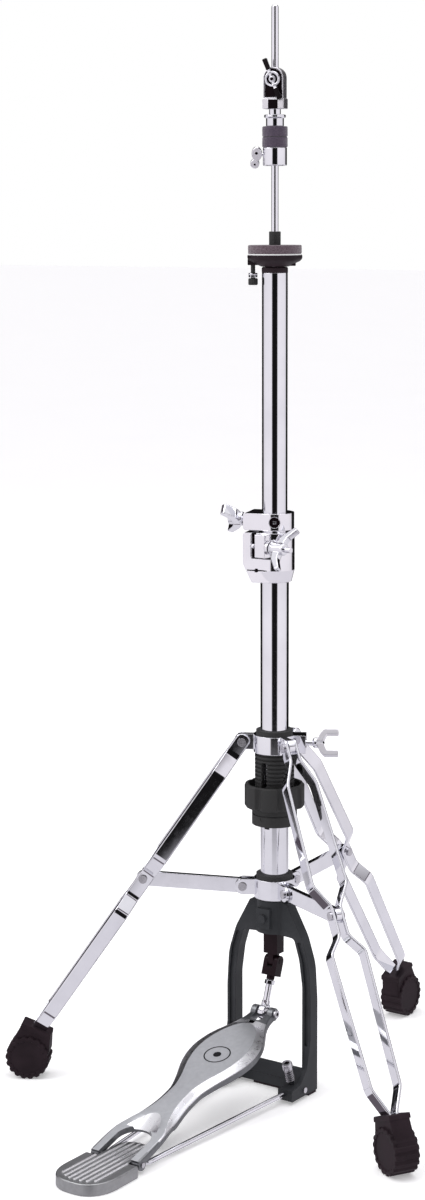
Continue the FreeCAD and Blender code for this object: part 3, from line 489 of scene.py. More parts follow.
class Shape:
    """One closed form of a piece, in millimetres, shaped by bmesh operators."""

    def __init__(self) -> None:
        """Start with nothing."""
        self.work = bmesh.new()

    def bevel(self, geom: Iterable, affect: str, width: float, segments: int,
              clamp: bool = True) -> Shape:
        """Round edges or corners off.

        Args:
            geom: the edges or vertices.
            affect: EDGES or VERTICES.
            width: how far the rounding reaches.
            segments: how many flats it has.
            clamp: whether it stops where it meets its neighbour.

        Returns:
            The shape itself.
        """
        bmesh.ops.bevel(self.work, geom=list(geom), affect=affect, offset=width, profile=0.5,
                        segments=segments, material=-1, clamp_overlap=clamp)
        return self

    def lift(self, made: dict[str, list], height: float) -> list[bmesh.types.BMVert]:
        """Move what an extrusion made along the local Z axis.

        Args:
            made: the operator's result.
            height: how far it moves.

        Returns:
            The moved vertices.
        """
        moved = [item for item in made["geom"] if isinstance(item, bmesh.types.BMVert)]
        bmesh.ops.translate(self.work, verts=moved, vec=(0, 0, height))
        return moved

    def thicken(self, height: float) -> list[bmesh.types.BMVert]:
        """Extrude every face along the local Z axis, and give the moved vertices."""
        faces = list(self.work.faces)
        return self.lift(bmesh.ops.extrude_face_region(self.work, geom=faces), height)

    def lathe(self, profile: Sequence[Flat], steps: int = 48, ring: bool = False) -> Shape:
        """Spin a profile about the local Z axis.

        Args:
            profile: points as (radius, height).
            steps: how many flats go round.
            ring: whether the profile closes on itself, as for a form with a bore.

        Returns:
            The shape itself.
        """
        verts = [self.work.verts.new((radius, 0.0, height)) for radius, height in profile]
        pairs = list(zip(verts, verts[1:])) + ([(verts[-1], verts[0])] if ring else [])
        edges = [self.work.edges.new(pair) for pair in pairs]
        bmesh.ops.spin(self.work, geom=verts + edges, cent=(0, 0, 0), axis=(0, 0, 1),
                       dvec=(0, 0, 0), angle=FULL, steps=steps, use_merge=True)
        bmesh.ops.remove_doubles(self.work, verts=self.work.verts, dist=1e-4)
        return self

    def slab(self, outline: Sequence[Flat], low: float, high: float, corner: float = 0.0,
             segments: int = 5) -> Shape:
        """Extrude a flat outline along the local Z axis.

        Args:
            outline: its corners as (x, y).
            low: where it starts.
            high: where it ends.
            corner: how far each corner is rounded back, or 0.
            segments: how many flats round each corner.

        Returns:
            The shape itself.
        """
        face = self.work.faces.new([self.work.verts.new((x, y, low)) for x, y in outline])
        if corner:
            self.bevel(face.verts, "VERTICES", corner, segments)
        self.thicken(high - low)
        return self

    def block(self, low: Point, high: Point) -> Shape:
        """A box.

        Args:
            low: its lowest corner.
            high: its highest corner.

        Returns:
            The shape itself.
        """
        verts = bmesh.ops.create_cube(self.work, size=1.0)["verts"]
        bmesh.ops.scale(self.work, verts=verts, vec=Vector(high) - Vector(low))
        bmesh.ops.translate(self.work, verts=verts, vec=(Vector(low) + Vector(high)) / 2)
        return self

    def rod(self, radius: float, start: Point, end: Point, sides: int = 32) -> Shape:
        """A round bar between two points.

        Args:
            radius: its radius.
            start: its first end.
            end: its other end.
            sides: how many flats go round.

        Returns:
            The shape itself.
        """
        run = Vector(end) - Vector(start)
        middle = Matrix.Translation((Vector(start) + Vector(end)) / 2)
        bmesh.ops.create_cone(self.work, cap_ends=True, segments=sides, radius1=radius,
                              radius2=radius, depth=run.length,
                              matrix=middle @ run.to_track_quat("Z", "Y").to_matrix().to_4x4())
        return self

    def pin(self, radius: float, low: float, high: float, sides: int = 24) -> Shape:
        """A round bar on the local Z axis."""
        return self.rod(radius, (0, 0, low), (0, 0, high), sides)

    def coil(self, radius: float, wire: float, low: float, high: float, turns: int) -> Shape:
        """A helical spring up the local Z axis.

        Args:
            radius: the coil's mean radius.
            wire: the wire's radius.
            low: the height of its first end.
            high: the height of its last end.
            turns: how many turns it has.

        Returns:
            The shape itself.
        """
        sides, count = 8, turns * 20
        stand = Matrix.Translation((radius, 0, low)) @ UPRIGHT
        made = bmesh.ops.create_circle(self.work, cap_ends=False, segments=sides, radius=wire,
                                       matrix=stand)
        edges = list({edge for vert in made["verts"] for edge in vert.link_edges})
        bmesh.ops.spin(self.work, geom=made["verts"] + edges, cent=(0, 0, 0), axis=(0, 0, 1),
                       dvec=(0, 0, (high - low) / count), angle=FULL * turns, steps=count)
        bmesh.ops.holes_fill(self.work, edges=self.work.edges, sides=sides)
        return self

    def edge_round(self, width: float, segments: int = 2, over: float = 35.0) -> Shape:
        """Round every edge that turns more than an angle.

        Args:
            width: how far the rounding reaches.
            segments: how many flats it has.
            over: the least angle that is rounded, in degrees.

        Returns:
            The shape itself.
        """
        edges = [edge for edge in self.work.edges if len(edge.link_faces) == 2
                 and edge.calc_face_angle(0.0) > math.radians(over)]
        return self.bevel(edges, "EDGES", width, segments)

    def knurled(self, over: float, every: int, first: int, scale: float) -> Shape:
        """Draw lines of a lathed rim in, as on a ribbed cap.

        Args:
            over: the radius outside of which vertices move.
            every: how many flats lie between two drawn lines.
            first: the first drawn line.
            scale: the drawn vertices' new radius as a part of the old.

        Returns:
            The shape itself.
        """
        for vert in self.work.verts:
            line = round(math.atan2(vert.co.y, vert.co.x) * 48 / FULL)
            if vert.co.xy.length > over and line % every == first:
                vert.co.xy *= scale
        return self

    def placed(self, matrix: Matrix) -> Shape:
        """Turn and move the shape."""
        bmesh.ops.transform(self.work, matrix=matrix, verts=self.work.verts)
        return self


class Piece:
    """A piece of the visual model: closed forms joined under one name."""

    def __init__(self, name: str) -> None:
        """Start a piece.

        Args:
            name: its name in the model.
        """
        self.name = name
        self.work = bmesh.new()
        self.finishes: list[Finish] = []

    def add(self, shape: Shape, finish: Finish, turn_out: bool = True) -> Piece:
        """Join a form to the piece.

        Args:
            shape: the form, which is used up.
            finish: its finish.
            turn_out: whether its faces are made to point outwards first.

        Returns:
            The piece itself.
        """
        if turn_out:
            bmesh.ops.recalc_face_normals(shape.work, faces=shape.work.faces)
        if finish not in self.finishes:
            self.finishes.append(finish)
        for face in shape.work.faces:
            face.material_index = self.finishes.index(finish)
            face.smooth = True
        step = bpy.data.meshes.new("step")
        shape.work.to_mesh(step)
        shape.work.free()
        self.work.from_mesh(step)
        bpy.data.meshes.remove(step)
        return self

    def loose(self, matrix: Matrix = Matrix.Identity(4)) -> bpy.types.Object:
        """Make the mesh object, in metres, without a body to ride on.

        Args:
            matrix: where the piece goes, in millimetres.

        Returns:
            The object.
        """
        place = Matrix.Scale(MM, 4) @ matrix
        bmesh.ops.transform(self.work, matrix=place, verts=self.work.verts)
        data = bpy.data.meshes.new(self.name)
        self.work.to_mesh(data)
        self.work.free()
        for finish in self.finishes:
            data.materials.append(finish.paint)
        return shown(self.name, data)

    def done(self, body: str, slot: str, *nodes: str, matrix: Matrix = Matrix.Identity(4),
             sharp: float = 38.0) -> bpy.types.Object:
        """Finish the piece and let it ride on its body, as seat_on does."""
        return seat_on(self.loose(matrix), body, slot, *nodes, sharp=sharp)


def seat_on(made: bpy.types.Object, body: str, slot: str, *nodes: str,
            sharp: float = 38.0) -> bpy.types.Object:
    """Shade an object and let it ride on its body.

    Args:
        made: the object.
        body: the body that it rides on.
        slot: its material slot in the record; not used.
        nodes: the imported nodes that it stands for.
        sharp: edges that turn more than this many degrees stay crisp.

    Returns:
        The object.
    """
    made.data.set_sharp_from_angle(angle=math.radians(sharp))
    made.modifiers.new("even_normals", "WEIGHTED_NORMAL").keep_sharp = True
    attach(made, body)
    if nodes:
        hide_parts(*nodes)
    return made


def turned(name: str, finish: Finish, body: str, slot: str, node: str, steps: int,
           profile: Sequence[Flat], ring: bool = True) -> None:
    """Build a piece that is one form turned about the stand's axis.

    Args:
        name: the piece's name.
        finish: its finish.
        body: the body that it rides on.
        slot: its material slot in the record.
        node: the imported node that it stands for.
        steps: how many flats go round.
        profile: points as (radius, height).
        ring: whether the profile closes on itself.
    """
    Piece(name).add(Shape().lathe(profile, steps, ring), finish).done(body, slot, node)


def felt_disc(name: str, body: str, slot: str, radius: float, bore: float, low: float,
              high: float, *nodes: str) -> None:
    """Build a pressed felt ring whose rim is a little uneven.

    Args:
        name: the piece's name.
        body: the body that it rides on.
        slot: its material slot in the record.
        radius: its outer radius.
        bore: its bore's radius.
        low: the height of its underside.
        high: the height of its top.
        nodes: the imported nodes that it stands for.
    """
    felt = Shape().lathe([(bore, low + 0.4), (bore + 0.5, low), (radius - 1.0, low),
                          (radius - 0.3, low + 0.35), (radius, low + 1.1), (radius, high - 1.1),
                          (radius - 0.3, high - 0.35), (radius - 1.0, high), (bore + 0.5, high),
                          (bore, high - 0.4)], 120, True)
    tall = [edge for edge in felt.work.edges
            if abs(edge.verts[0].co.z - edge.verts[1].co.z) > 2.0]
    bmesh.ops.subdivide_edges(felt.work, edges=tall, cuts=4, use_grid_fill=True)
    for vert in felt.work.verts:
        turn = math.atan2(vert.co.y, vert.co.x)
        if vert.co.xy.length > radius - 0.5:
            waves = math.sin(7 * turn + vert.co.z) + math.sin(17 * turn - 2.1 * vert.co.z)
            fuzz = math.sin(43 * turn + 5.3 * vert.co.z)
            vert.co.xy *= 1 - (0.16 + 0.05 * waves + 0.06 * fuzz) / radius
    made = Piece(name).add(felt, SLOT_FINISH[slot]).done(body, slot, *nodes, sharp=60)


def carve(base: bpy.types.Object, tools: Sequence[bpy.types.Object]) -> None:
    """Cut tools out of a base and throw the tools away.

    Args:
        base: the object that is cut.
        tools: the closed objects to cut with.
    """
    for tool in tools:
        cut = base.modifiers.new("cut", "BOOLEAN")
        cut.operation, cut.solver, cut.object = "DIFFERENCE", "EXACT", tool
        cut.material_mode = "TRANSFER"
    graph = bpy.context.evaluated_depsgraph_get()
    old, name = base.data, base.data.name
    made = bpy.data.meshes.new_from_object(base.evaluated_get(graph))
    base.modifiers.clear()
    base.data = made
    bpy.data.meshes.remove(old)
    made.name = name
    for tool in tools:
        bpy.data.objects.remove(tool)


def along(azimuth: float, radius: float, height: float, across: float = 0.0) -> Point:
    """A point at a radius along an azimuth, set off across it."""
    x, y = math.cos(math.radians(azimuth)), math.sin(math.radians(azimuth))
    return (radius * x - across * y, radius * y + across * x, height)


def facing(point: Point, azimuth: float, roll: float = 0.0) -> Matrix:
    """A place whose local Z points out along an azimuth and whose local X points up.

    Args:
        point: its origin.
        azimuth: the direction that local Z points in, in degrees.
        roll: how far it's turned about local Z, in degrees.

    Returns:
        The placement.
    """
    angle, out, side = math.radians(roll), along(azimuth, 1, 0), along(azimuth, 0, 0, 1)
    across = Vector((0, 0, 1)) * math.cos(angle) + Vector(side) * math.sin(angle)
    axes = Matrix((across, Vector(out).cross(across), out))
    return Matrix.Translation(point) @ axes.transposed().to_4x4()


def turn_about(axis: str, degrees: float) -> Matrix:
    """A turn about one of the main axes."""
    return Matrix.Rotation(math.radians(degrees), 4, axis)


def arc(middle: Flat, reach: Flat, start: float, end: float, steps: int) -> list[Flat]:
    """Points along an ellipse.

    Args:
        middle: its centre.
        reach: its half widths along x and y.
        start: where the arc starts, in half turns.
        end: where it ends, in half turns.
        steps: how many flats it has.

    Returns:
        The points, with both ends.
    """
    turns = [math.pi * (start + (end - start) * step / steps) for step in range(steps + 1)]
    return [(middle[0] + reach[0] * math.cos(turn), middle[1] + reach[1] * math.sin(turn))
            for turn in turns]


def mirrored(side: int, outline: Sequence[Flat]) -> list[Flat]:
    """An outline on one side of the local Y axis or the other."""
    return [(side * x, y) for x, y in outline]


def between(table: Sequence[Flat], place: float) -> float:
    """A smooth value between the rows of a table.

    Args:
        table: rows of (place, value), in order.
        place: where the value is wanted.

    Returns:
        The value.
    """
    if place <= table[0][0]:
        return table[0][1]
    for index in range(len(table) - 1):
        (start, first), (end, last) = table[index], table[index + 1]
        if place <= end:
            before = table[max(index - 1, 0)]
            after = table[min(index + 2, len(table) - 1)]
            run, t = end - start, (place - start) / (end - start)
            rise_in = (last - before[1]) / (end - before[0]) * run
            rise_out = (after[1] - first) / (after[0] - start) * run
            return (first * (2 * t ** 3 - 3 * t ** 2 + 1) + rise_in * (t ** 3 - 2 * t ** 2 + t)
                    + last * (3 * t ** 2 - 2 * t ** 3) + rise_out * (t ** 3 - t ** 2))
    return table[-1][1]


# ---------------------------------------------------------------- tripod


@dataclass
class Legs:
    """Three legs, each of two bent strips that meet at the waist and in a rubber foot."""

    azimuths: tuple[tuple[str, float], ...] = (("left", 210), ("right", -30), ("rear", 90))
    hip: Point = (33.0, 0.0, 363.0)
    slope: float = 55.53
    width: float = 15.0
    thick: float = 3.0
    bend: float = 3.4
    tip: float = 6.0
    path: tuple[Flat, ...] = ((-8, 5.0), (16, 5.0), (41, 15.7), (147, 18.7), (170, 4.7),
                              (200, 4.7), (217, 18.3), (351, 15.6), (377, 3.4), (388, 3.4))
    wheel_out: float = 257.5
    wheel_radius: float = 23.0
    wheel_width: float = 26.0
    teeth: int = 18
    tooth: float = 1.5
    boot: tuple[Flat, ...] = ((233.5, 47), (234.5, 28), (248, 8), (279, 20), (277, 34),
                              (262.5, 58.5))
    lip: tuple[Flat, ...] = ((233, 48.6), (233.4, 43.2), (265, 55.4), (262.8, 60.4))

    def build(self) -> None:
        """Build the strips and the feet of all three legs."""
        for name, azimuth in self.azimuths:
            self.build_strips(name, turn_about("Z", azimuth))
            self.build_foot(name, turn_about("Z", azimuth))

    def build_strips(self, name: str, place: Matrix) -> None:
        """Build one leg's pair of strips.

        Args:
            name: which leg.
            place: the turn that brings it to its azimuth.
        """
        piece = Piece(f"{name}_leg_strips")
        for side in SIDES:
            piece.add(self.ribbon(side), Finish.CHROME, turn_out=False)
        made = piece.loose(place @ Matrix.Translation(self.hip) @ turn_about("Y", self.slope))
        wall = made.modifiers.new("wall", "SOLIDIFY")
        wall.thickness, wall.offset = self.thick * MM, 0.0
        edge = made.modifiers.new("edge", "BEVEL")
        edge.width, edge.segments, edge.limit_method = 1.1 * MM, 3, "ANGLE"
        edge.angle_limit = math.radians(40)
        seat_on(made, f"{name}_leg", "chrome", f"{name}_leg_rails", sharp=50)

    def ribbon(self, side: int) -> Shape:
        """The middle surface of one strip, bent along its path.

        Args:
            side: 1 or -1, for the strip on either side of the leg's plane.

        Returns:
            The open surface.
        """
        shape = Shape()
        verts = [shape.work.verts.new((x, side * y, -self.width / 2)) for x, y in self.path]
        edges = [shape.work.edges.new(pair) for pair in zip(verts, verts[1:])]
        shape.lift(bmesh.ops.extrude_edge_only(shape.work, edges=edges), self.width)
        folds = [edge for edge in shape.work.edges if len(edge.link_faces) == 2]
        shape.bevel(folds, "EDGES", self.bend, 5, False)
        ends = [vert for vert in shape.work.verts if vert.co.x < self.path[0][0] + 0.01]
        return shape.bevel(ends, "VERTICES", self.tip, 5, False)

    def build_foot(self, name: str, place: Matrix) -> None:
        """Build one rubber foot: a toothed wheel and the boot that the strips run into.

        Args:
            name: which leg.
            place: the turn that brings it to its azimuth.
        """
        centre = Matrix.Translation((self.wheel_out, 0, self.wheel_radius))
        boot = Shape().slab(self.boot, -10.6, 10.6, 3.0, 4).edge_round(1.6, 3)
        lip = Shape().slab(self.lip, -11.3, 11.3, 1.2, 3).edge_round(0.9)
        piece = Piece(f"{name}_rubber_foot")
        for form in (self.wheel().placed(centre @ UPRIGHT), boot.placed(UPRIGHT),
                     lip.placed(UPRIGHT)):
            piece.add(form, Finish.RUBBER)
        piece.done(f"{name}_leg", "rubber", f"{name}_foot", matrix=place)

    def wheel(self) -> Shape:
        """The toothed wheel, with its axle along local Z and a shallow dish in each face.

        Returns:
            The closed wheel.
        """
        shape, radius, sides = Shape(), self.wheel_radius, self.teeth * 5
        made = bmesh.ops.create_circle(shape.work, cap_ends=True, segments=sides, radius=radius)
        for index, vert in enumerate(made["verts"]):
            if index % 5 in (0, 1):
                vert.co *= 1 - self.tooth / radius
        shape.placed(Matrix.Translation((0, 0, -self.wheel_width / 2))).thicken(self.wheel_width)
        for cap in [face for face in shape.work.faces if len(face.verts) == sides]:
            out = math.copysign(1.0, cap.calc_center_median().z)
            for width in (1.2, 2.6, 0.7):
                bmesh.ops.inset_individual(shape.work, faces=[cap], thickness=width, depth=0)
            bmesh.ops.translate(shape.work, verts=cap.verts, vec=(0, 0, -out * 0.9))
        rims = [edge for edge in shape.work.edges if edge.calc_face_angle(0.0) > 1.2
                and abs(edge.verts[0].co.z - edge.verts[1].co.z) < 0.01
                and edge.verts[0].co.xy.length > radius - 2.2]
        return shape.bevel(rims, "EDGES", 1.0, 2)


# ---------------------------------------------------------------- tubes, knob and seat


@dataclass
class Column:
    """The upper tube, the pull rod, the tension knob and the return spring."""

    spring: Flat = (292.4, 433.4)
    spring_radius: float = 7.6
    spring_wire: float = 1.1
    spring_turns: int = 24
    knob: tuple[Flat, ...] = (
        (20.5, 295.4), (27.6, 295.4), (29.4, 296.1), (30.5, 297.8), (30.5, 317.8), (29.8, 319.4),
        (28.5, 320.0), (27.0, 320.0), (26.0, 319.0), (26.0, 306.0), (20.5, 306.0))
    lobes: int = 8
    dip: float = 3.0

    def build(self) -> None:
        """Build the column's pieces."""
        turned("upper_tube_chrome", Finish.CHROME, "upper_tube", "chrome", "upper_tube", 96,
               [(12.7, 500), (12.7, 834), (11.5, 834), (11.5, 500)])
        turned("pull_rod_chrome", Finish.CHROME, "pull_rod", "chrome", "upper_rod", 48,
               [(0, 466), (3.5, 466), (3.5, 1087.8), (2.6, 1089.4), (1.3, 1090), (0, 1090)], False)
        self.build_knob()
        self.build_spring()

    def build_knob(self) -> None:
        """Build the lobed tension knob, open at its top round the sleeve."""
        knob = Shape().lathe(self.knob, self.lobes * 12, True)
        for vert in knob.work.verts:
            reach = vert.co.xy.length
            if reach > 27.3:
                turn = (math.atan2(vert.co.y, vert.co.x) * self.lobes / FULL + 0.5) % 1.0
                depth = max(0.0, math.cos(math.pi * min(1.0, abs(turn - 0.5) / 0.26))) ** 0.6
                vert.co.xy *= 1 - self.dip * depth / reach
        Piece("tension_knob_lobed").add(knob, Finish.PLASTIC).done(
            "tension_knob", "black_plastic", "tension_knob", sharp=45)

    def build_spring(self) -> None:
        """Build the return spring in two halves: the lower rides on the spring carrier, the upper
        on the chassis.
        """
        low, high = self.spring
        middle = (low + high) / 2
        for name, body, joint, start, end, seat, travel, nodes in (
                ("return_spring_low", "spring_carrier", "spring_travel", low, middle,
                 low - self.spring_wire, 25.2, ("pedal_spring",)),
                ("return_spring_high", "chassis", "footboard_press", middle, high, middle, 41.9,
                 ())):
            coil = Shape().coil(self.spring_radius, self.spring_wire, start, end,
                                self.spring_turns // 2)
            made = Piece(name).add(coil, Finish.WIRE).done(body, "spring_steel", *nodes)
            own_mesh(made)


@dataclass
class Seat:
    """The tilting seat of the bottom cymbal."""

    azimuth: float = 210.0
    stop_azimuth: float = 30.0

    def build(self) -> None:
        """Build the cap, the cup, its washer, felt and sleeve, and the tilt screw."""
        turned("tube_top_cap", Finish.CUP, "upper_tube", "black_plastic", "tube_cap", 64,
               [(3.6, 834.0), (12.6, 834.0), (12.9, 834.4), (12.9, 838.6), (11.9, 839.6),
                (3.6, 839.6)])
        cup = Shape().lathe([(5.9, 840.0), (13.4, 840.0), (14.6, 840.5), (24.6, 845.2),
                             (26.4, 847.0), (27.0, 848.6), (27.0, 850.6), (26.4, 851.2),
                             (23.0, 851.2), (22.6, 850.8), (22.6, 848.4), (5.9, 848.4)], 96, True)
        ear = Shape().block((14.0, -4.6, 841.4), (26.6, 4.6, 847.6)).edge_round(0.8)
        stop = Shape().block((12.0, -3.6, 840.6), (20.4, 3.6, 843.6)).edge_round(0.6)
        piece = Piece("seat_cup_moulded").add(cup, Finish.CUP)
        piece.add(ear.placed(turn_about("Z", self.azimuth)), Finish.CUP)
        piece.add(stop.placed(turn_about("Z", self.stop_azimuth)), Finish.CUP)
        piece.done("seat_cup", "black_plastic", "seat_cup")
        turned("seat_pale_washer", Finish.WASHER, "seat_cup", "pale_washer", "seat_washer", 72,
               [(5.9, 851.2), (26.4, 851.2), (26.4, 852.4), (5.9, 852.4)])
        felt_disc("seat_felt_pad", "seat_cup", "seat_felt", 26.5, 6.0, 852.4, 860.8, "seat_felt")
        turned("seat_sleeve_moulded", Finish.PLASTIC, "seat_cup", "black_plastic", "seat_sleeve",
               48, [(5.1, 840.0), (5.75, 840.0), (5.75, 873.4), (5.3, 874.0), (5.1, 874.0)])
        self.build_tilt_screw()

    def build_tilt_screw(self) -> None:
        """Build the screw that tilts the seat, with its bright nut and its ribbed cap."""
        collar = [(0, -10.4), (3.6, -10.4), (4.6, -11.2), (4.2, -12.0), (0, -12.0)]
        cap = [(0, -22.0), (4.0, -22.0), (4.7, -21.2), (4.7, -16.4), (4.2, -15.4), (0, -15.4)]
        piece = Piece("tilt_screw_and_nut").add(Shape().pin(2.2, -16, 0.5, 32), Finish.PLASTIC)
        piece.add(Shape().pin(4.5, -14.6, -10.2, 6).edge_round(0.5), Finish.CHROME)
        piece.add(Shape().lathe(collar, 32), Finish.CHROME)
        piece.add(Shape().lathe(cap).knurled(3.9, 4, 0, 0.92), Finish.PLASTIC)
        piece.done("tilt_screw", "black_plastic", "tilt_screw",
                   matrix=Matrix.Translation(along(self.azimuth, 21.5, 844)))


# ---------------------------------------------------------------- clutch and wing screws


@dataclass
class Clutch:
    """The clutch that holds the top cymbal on the pull rod."""

    front: float = -72.0
    lock: float = 210.0
    half: float = 10.0
    depth: float = 7.0
    arch: float = 1021.0
    frame: float = 1.3
    felt_radius: float = 12.5
    felt_bore: float = 5.1

    def build(self) -> None:
        """Build the clutch from its head down."""
        self.build_head()
        self.build_wing()
        turned("clutch_upper_nut_turned", Finish.CHROME, "clutch", "chrome", "clutch_upper_nut",
               72, [(4.95, 974.9), (8.4, 974.9), (8.7, 975.3), (8.7, 982.4), (9.4, 983.0),
                    (10.5, 983.4), (10.5, 985.4), (9.9, 985.9), (5.9, 985.9), (5.7, 986.3),
                    (5.7, 991.3), (4.95, 991.3)])
        for name, low, high, nodes in (("clutch_felt_low", 954.8, 964.7, ("clutch_felts",)),
                                       ("clutch_felt_high", 964.9, 974.8, ())):
            felt_disc(name, "clutch", "clutch_felt", self.felt_radius, self.felt_bore, low, high,
                      *nodes)
        turned("clutch_bottom_nut_turned", Finish.CHROME, "bottom_nut", "chrome",
               "clutch_bottom_nut", 72, [(5.0, 954.7), (11.2, 954.7), (11.7, 954.2),
                                         (11.7, 938.0), (11.0, 937.2), (3.7, 937.2),
                                         (3.7, 938.2), (5.0, 938.2)])
        self.build_lock()

    def build_head(self) -> None:
        """Build the arched head: a chrome frame round a recess darkened with painted shade, on a
        foot whose slot is painted shade.
        """
        outline = [(-self.half, 1001.0), (self.half, 1001.0)]
        outline += arc((0.0, self.arch), (self.half, self.half), 0, 1, 20)
        shell = Shape().slab(outline, -self.depth, self.depth)
        front = max(shell.work.faces, key=lambda face: face.calc_center_median().z)
        for width, sink in ((self.frame, 0), (0.15, -self.frame)):
            bmesh.ops.inset_individual(shell.work, faces=[front], thickness=width, depth=sink)
        # The pad is a thin near-black sheet laid in the recess as painted shade.
        pad, above = Shape(), Vector((0, 0, 0.06))
        pad.work.faces.new([pad.work.verts.new(vert.co + above) for vert in front.verts])
        pad.thicken(-0.5)
        foot = Shape().block((-10.8, 991.5, -8.0), (10.8, 1001.2, 8.0)).edge_round(0.6)
        # The slot is a near-black block on the foot's face, painted shade for the slot.
        slot = Shape().block((-4.8, 991.4, 7.0), (4.8, 1000.2, 8.08))
        piece = Piece("clutch_head").add(shell.edge_round(0.5, 2, 50), Finish.SATIN)
        piece.add(pad, Finish.HOLLOW_SHADE).add(foot, Finish.SATIN).add(slot, Finish.HOLLOW_SHADE)
        piece.done("clutch", "chrome", "clutch_body",
                   matrix=turn_about("Z", self.front + 90) @ UPRIGHT)

    def build_wing(self) -> None:
        """Build the wing screw: a bright hub and ring, and a rubber grip on each side."""
        hub = [(0, -3.0), (2.3, -3.0), (2.3, 0.6), (3.4, 0.8), (3.4, 3.2), (0, 3.2)]
        ring = [(5.0, 1.0), (7.0, 1.0), (7.6, 1.7), (7.6, 3.6), (7.0, 4.4), (5.8, 4.4), (5.0, 3.4)]
        arm = [(2.6, -1.5), (10.6, -1.9), (10.6, 1.9), (2.6, 1.5)]
        grip = [(9.4, -2.0), (20.6, -2.3), (20.6, 2.3), (9.4, 2.0)]
        piece = Piece("clutch_wing_and_grips").add(Shape().lathe(hub, 32), Finish.CHROME)
        piece.add(Shape().lathe(ring, 48, True), Finish.CHROME)
        piece.add(Shape().pin(2.9, 3.0, 5.0, 6).edge_round(0.4), Finish.CHROME)
        # A near-black disc on the pin's end: painted shade in its socket.
        piece.add(Shape().pin(1.8, 4.9, 5.2, 6), Finish.HOLLOW_SHADE)
        for side in SIDES:
            bar = Shape().slab(mirrored(side, arm), 1.8, 4.4).edge_round(0.5)
            cover = Shape().slab(mirrored(side, grip), 1.2, 5.4, 0.8, 3).edge_round(0.8)
            piece.add(bar, Finish.CHROME).add(cover, Finish.GRIP)
        piece.done("clutch_wing_screw", "chrome", "clutch_wing_screw",
                   matrix=facing(along(self.front, 7.2, 1019.4), self.front, -22))

    def build_lock(self) -> None:
        """Build the small locking wing of the bottom nut, with the eye at its root; its holes are
        dark rods, painted shade.
        """
        piece = Piece("nut_lock_wing").add(Shape().pin(1.8, -3.0, 4.0), Finish.CHROME)
        for middle, reach, half in (((1.0, 6.0), (7.0, 5.0), 2.3), ((-9.4, 8.2), (4.8, 4.4), 2.0)):
            lobe = Shape().slab(arc(middle, reach, 0, 2, 24)[:-1], -half, half)
            piece.add(lobe.edge_round(0.9, 3).placed(UPRIGHT), Finish.SATIN)
        # Near-black rods through the lobes stand for the holes: painted shade.
        for radius, x, z, half in ((1.5, 2.4, 6.2, 2.4), (1.1, -9.6, 8.2, 2.1)):
            piece.add(Shape().rod(radius, (x, -half, z), (x, half, z), 24), Finish.HOLLOW_SHADE)
        piece.done("nut_lock_screw", "chrome", "nut_lock_screw",
                   matrix=facing(along(self.lock, 11.7, 948), self.lock, 26))


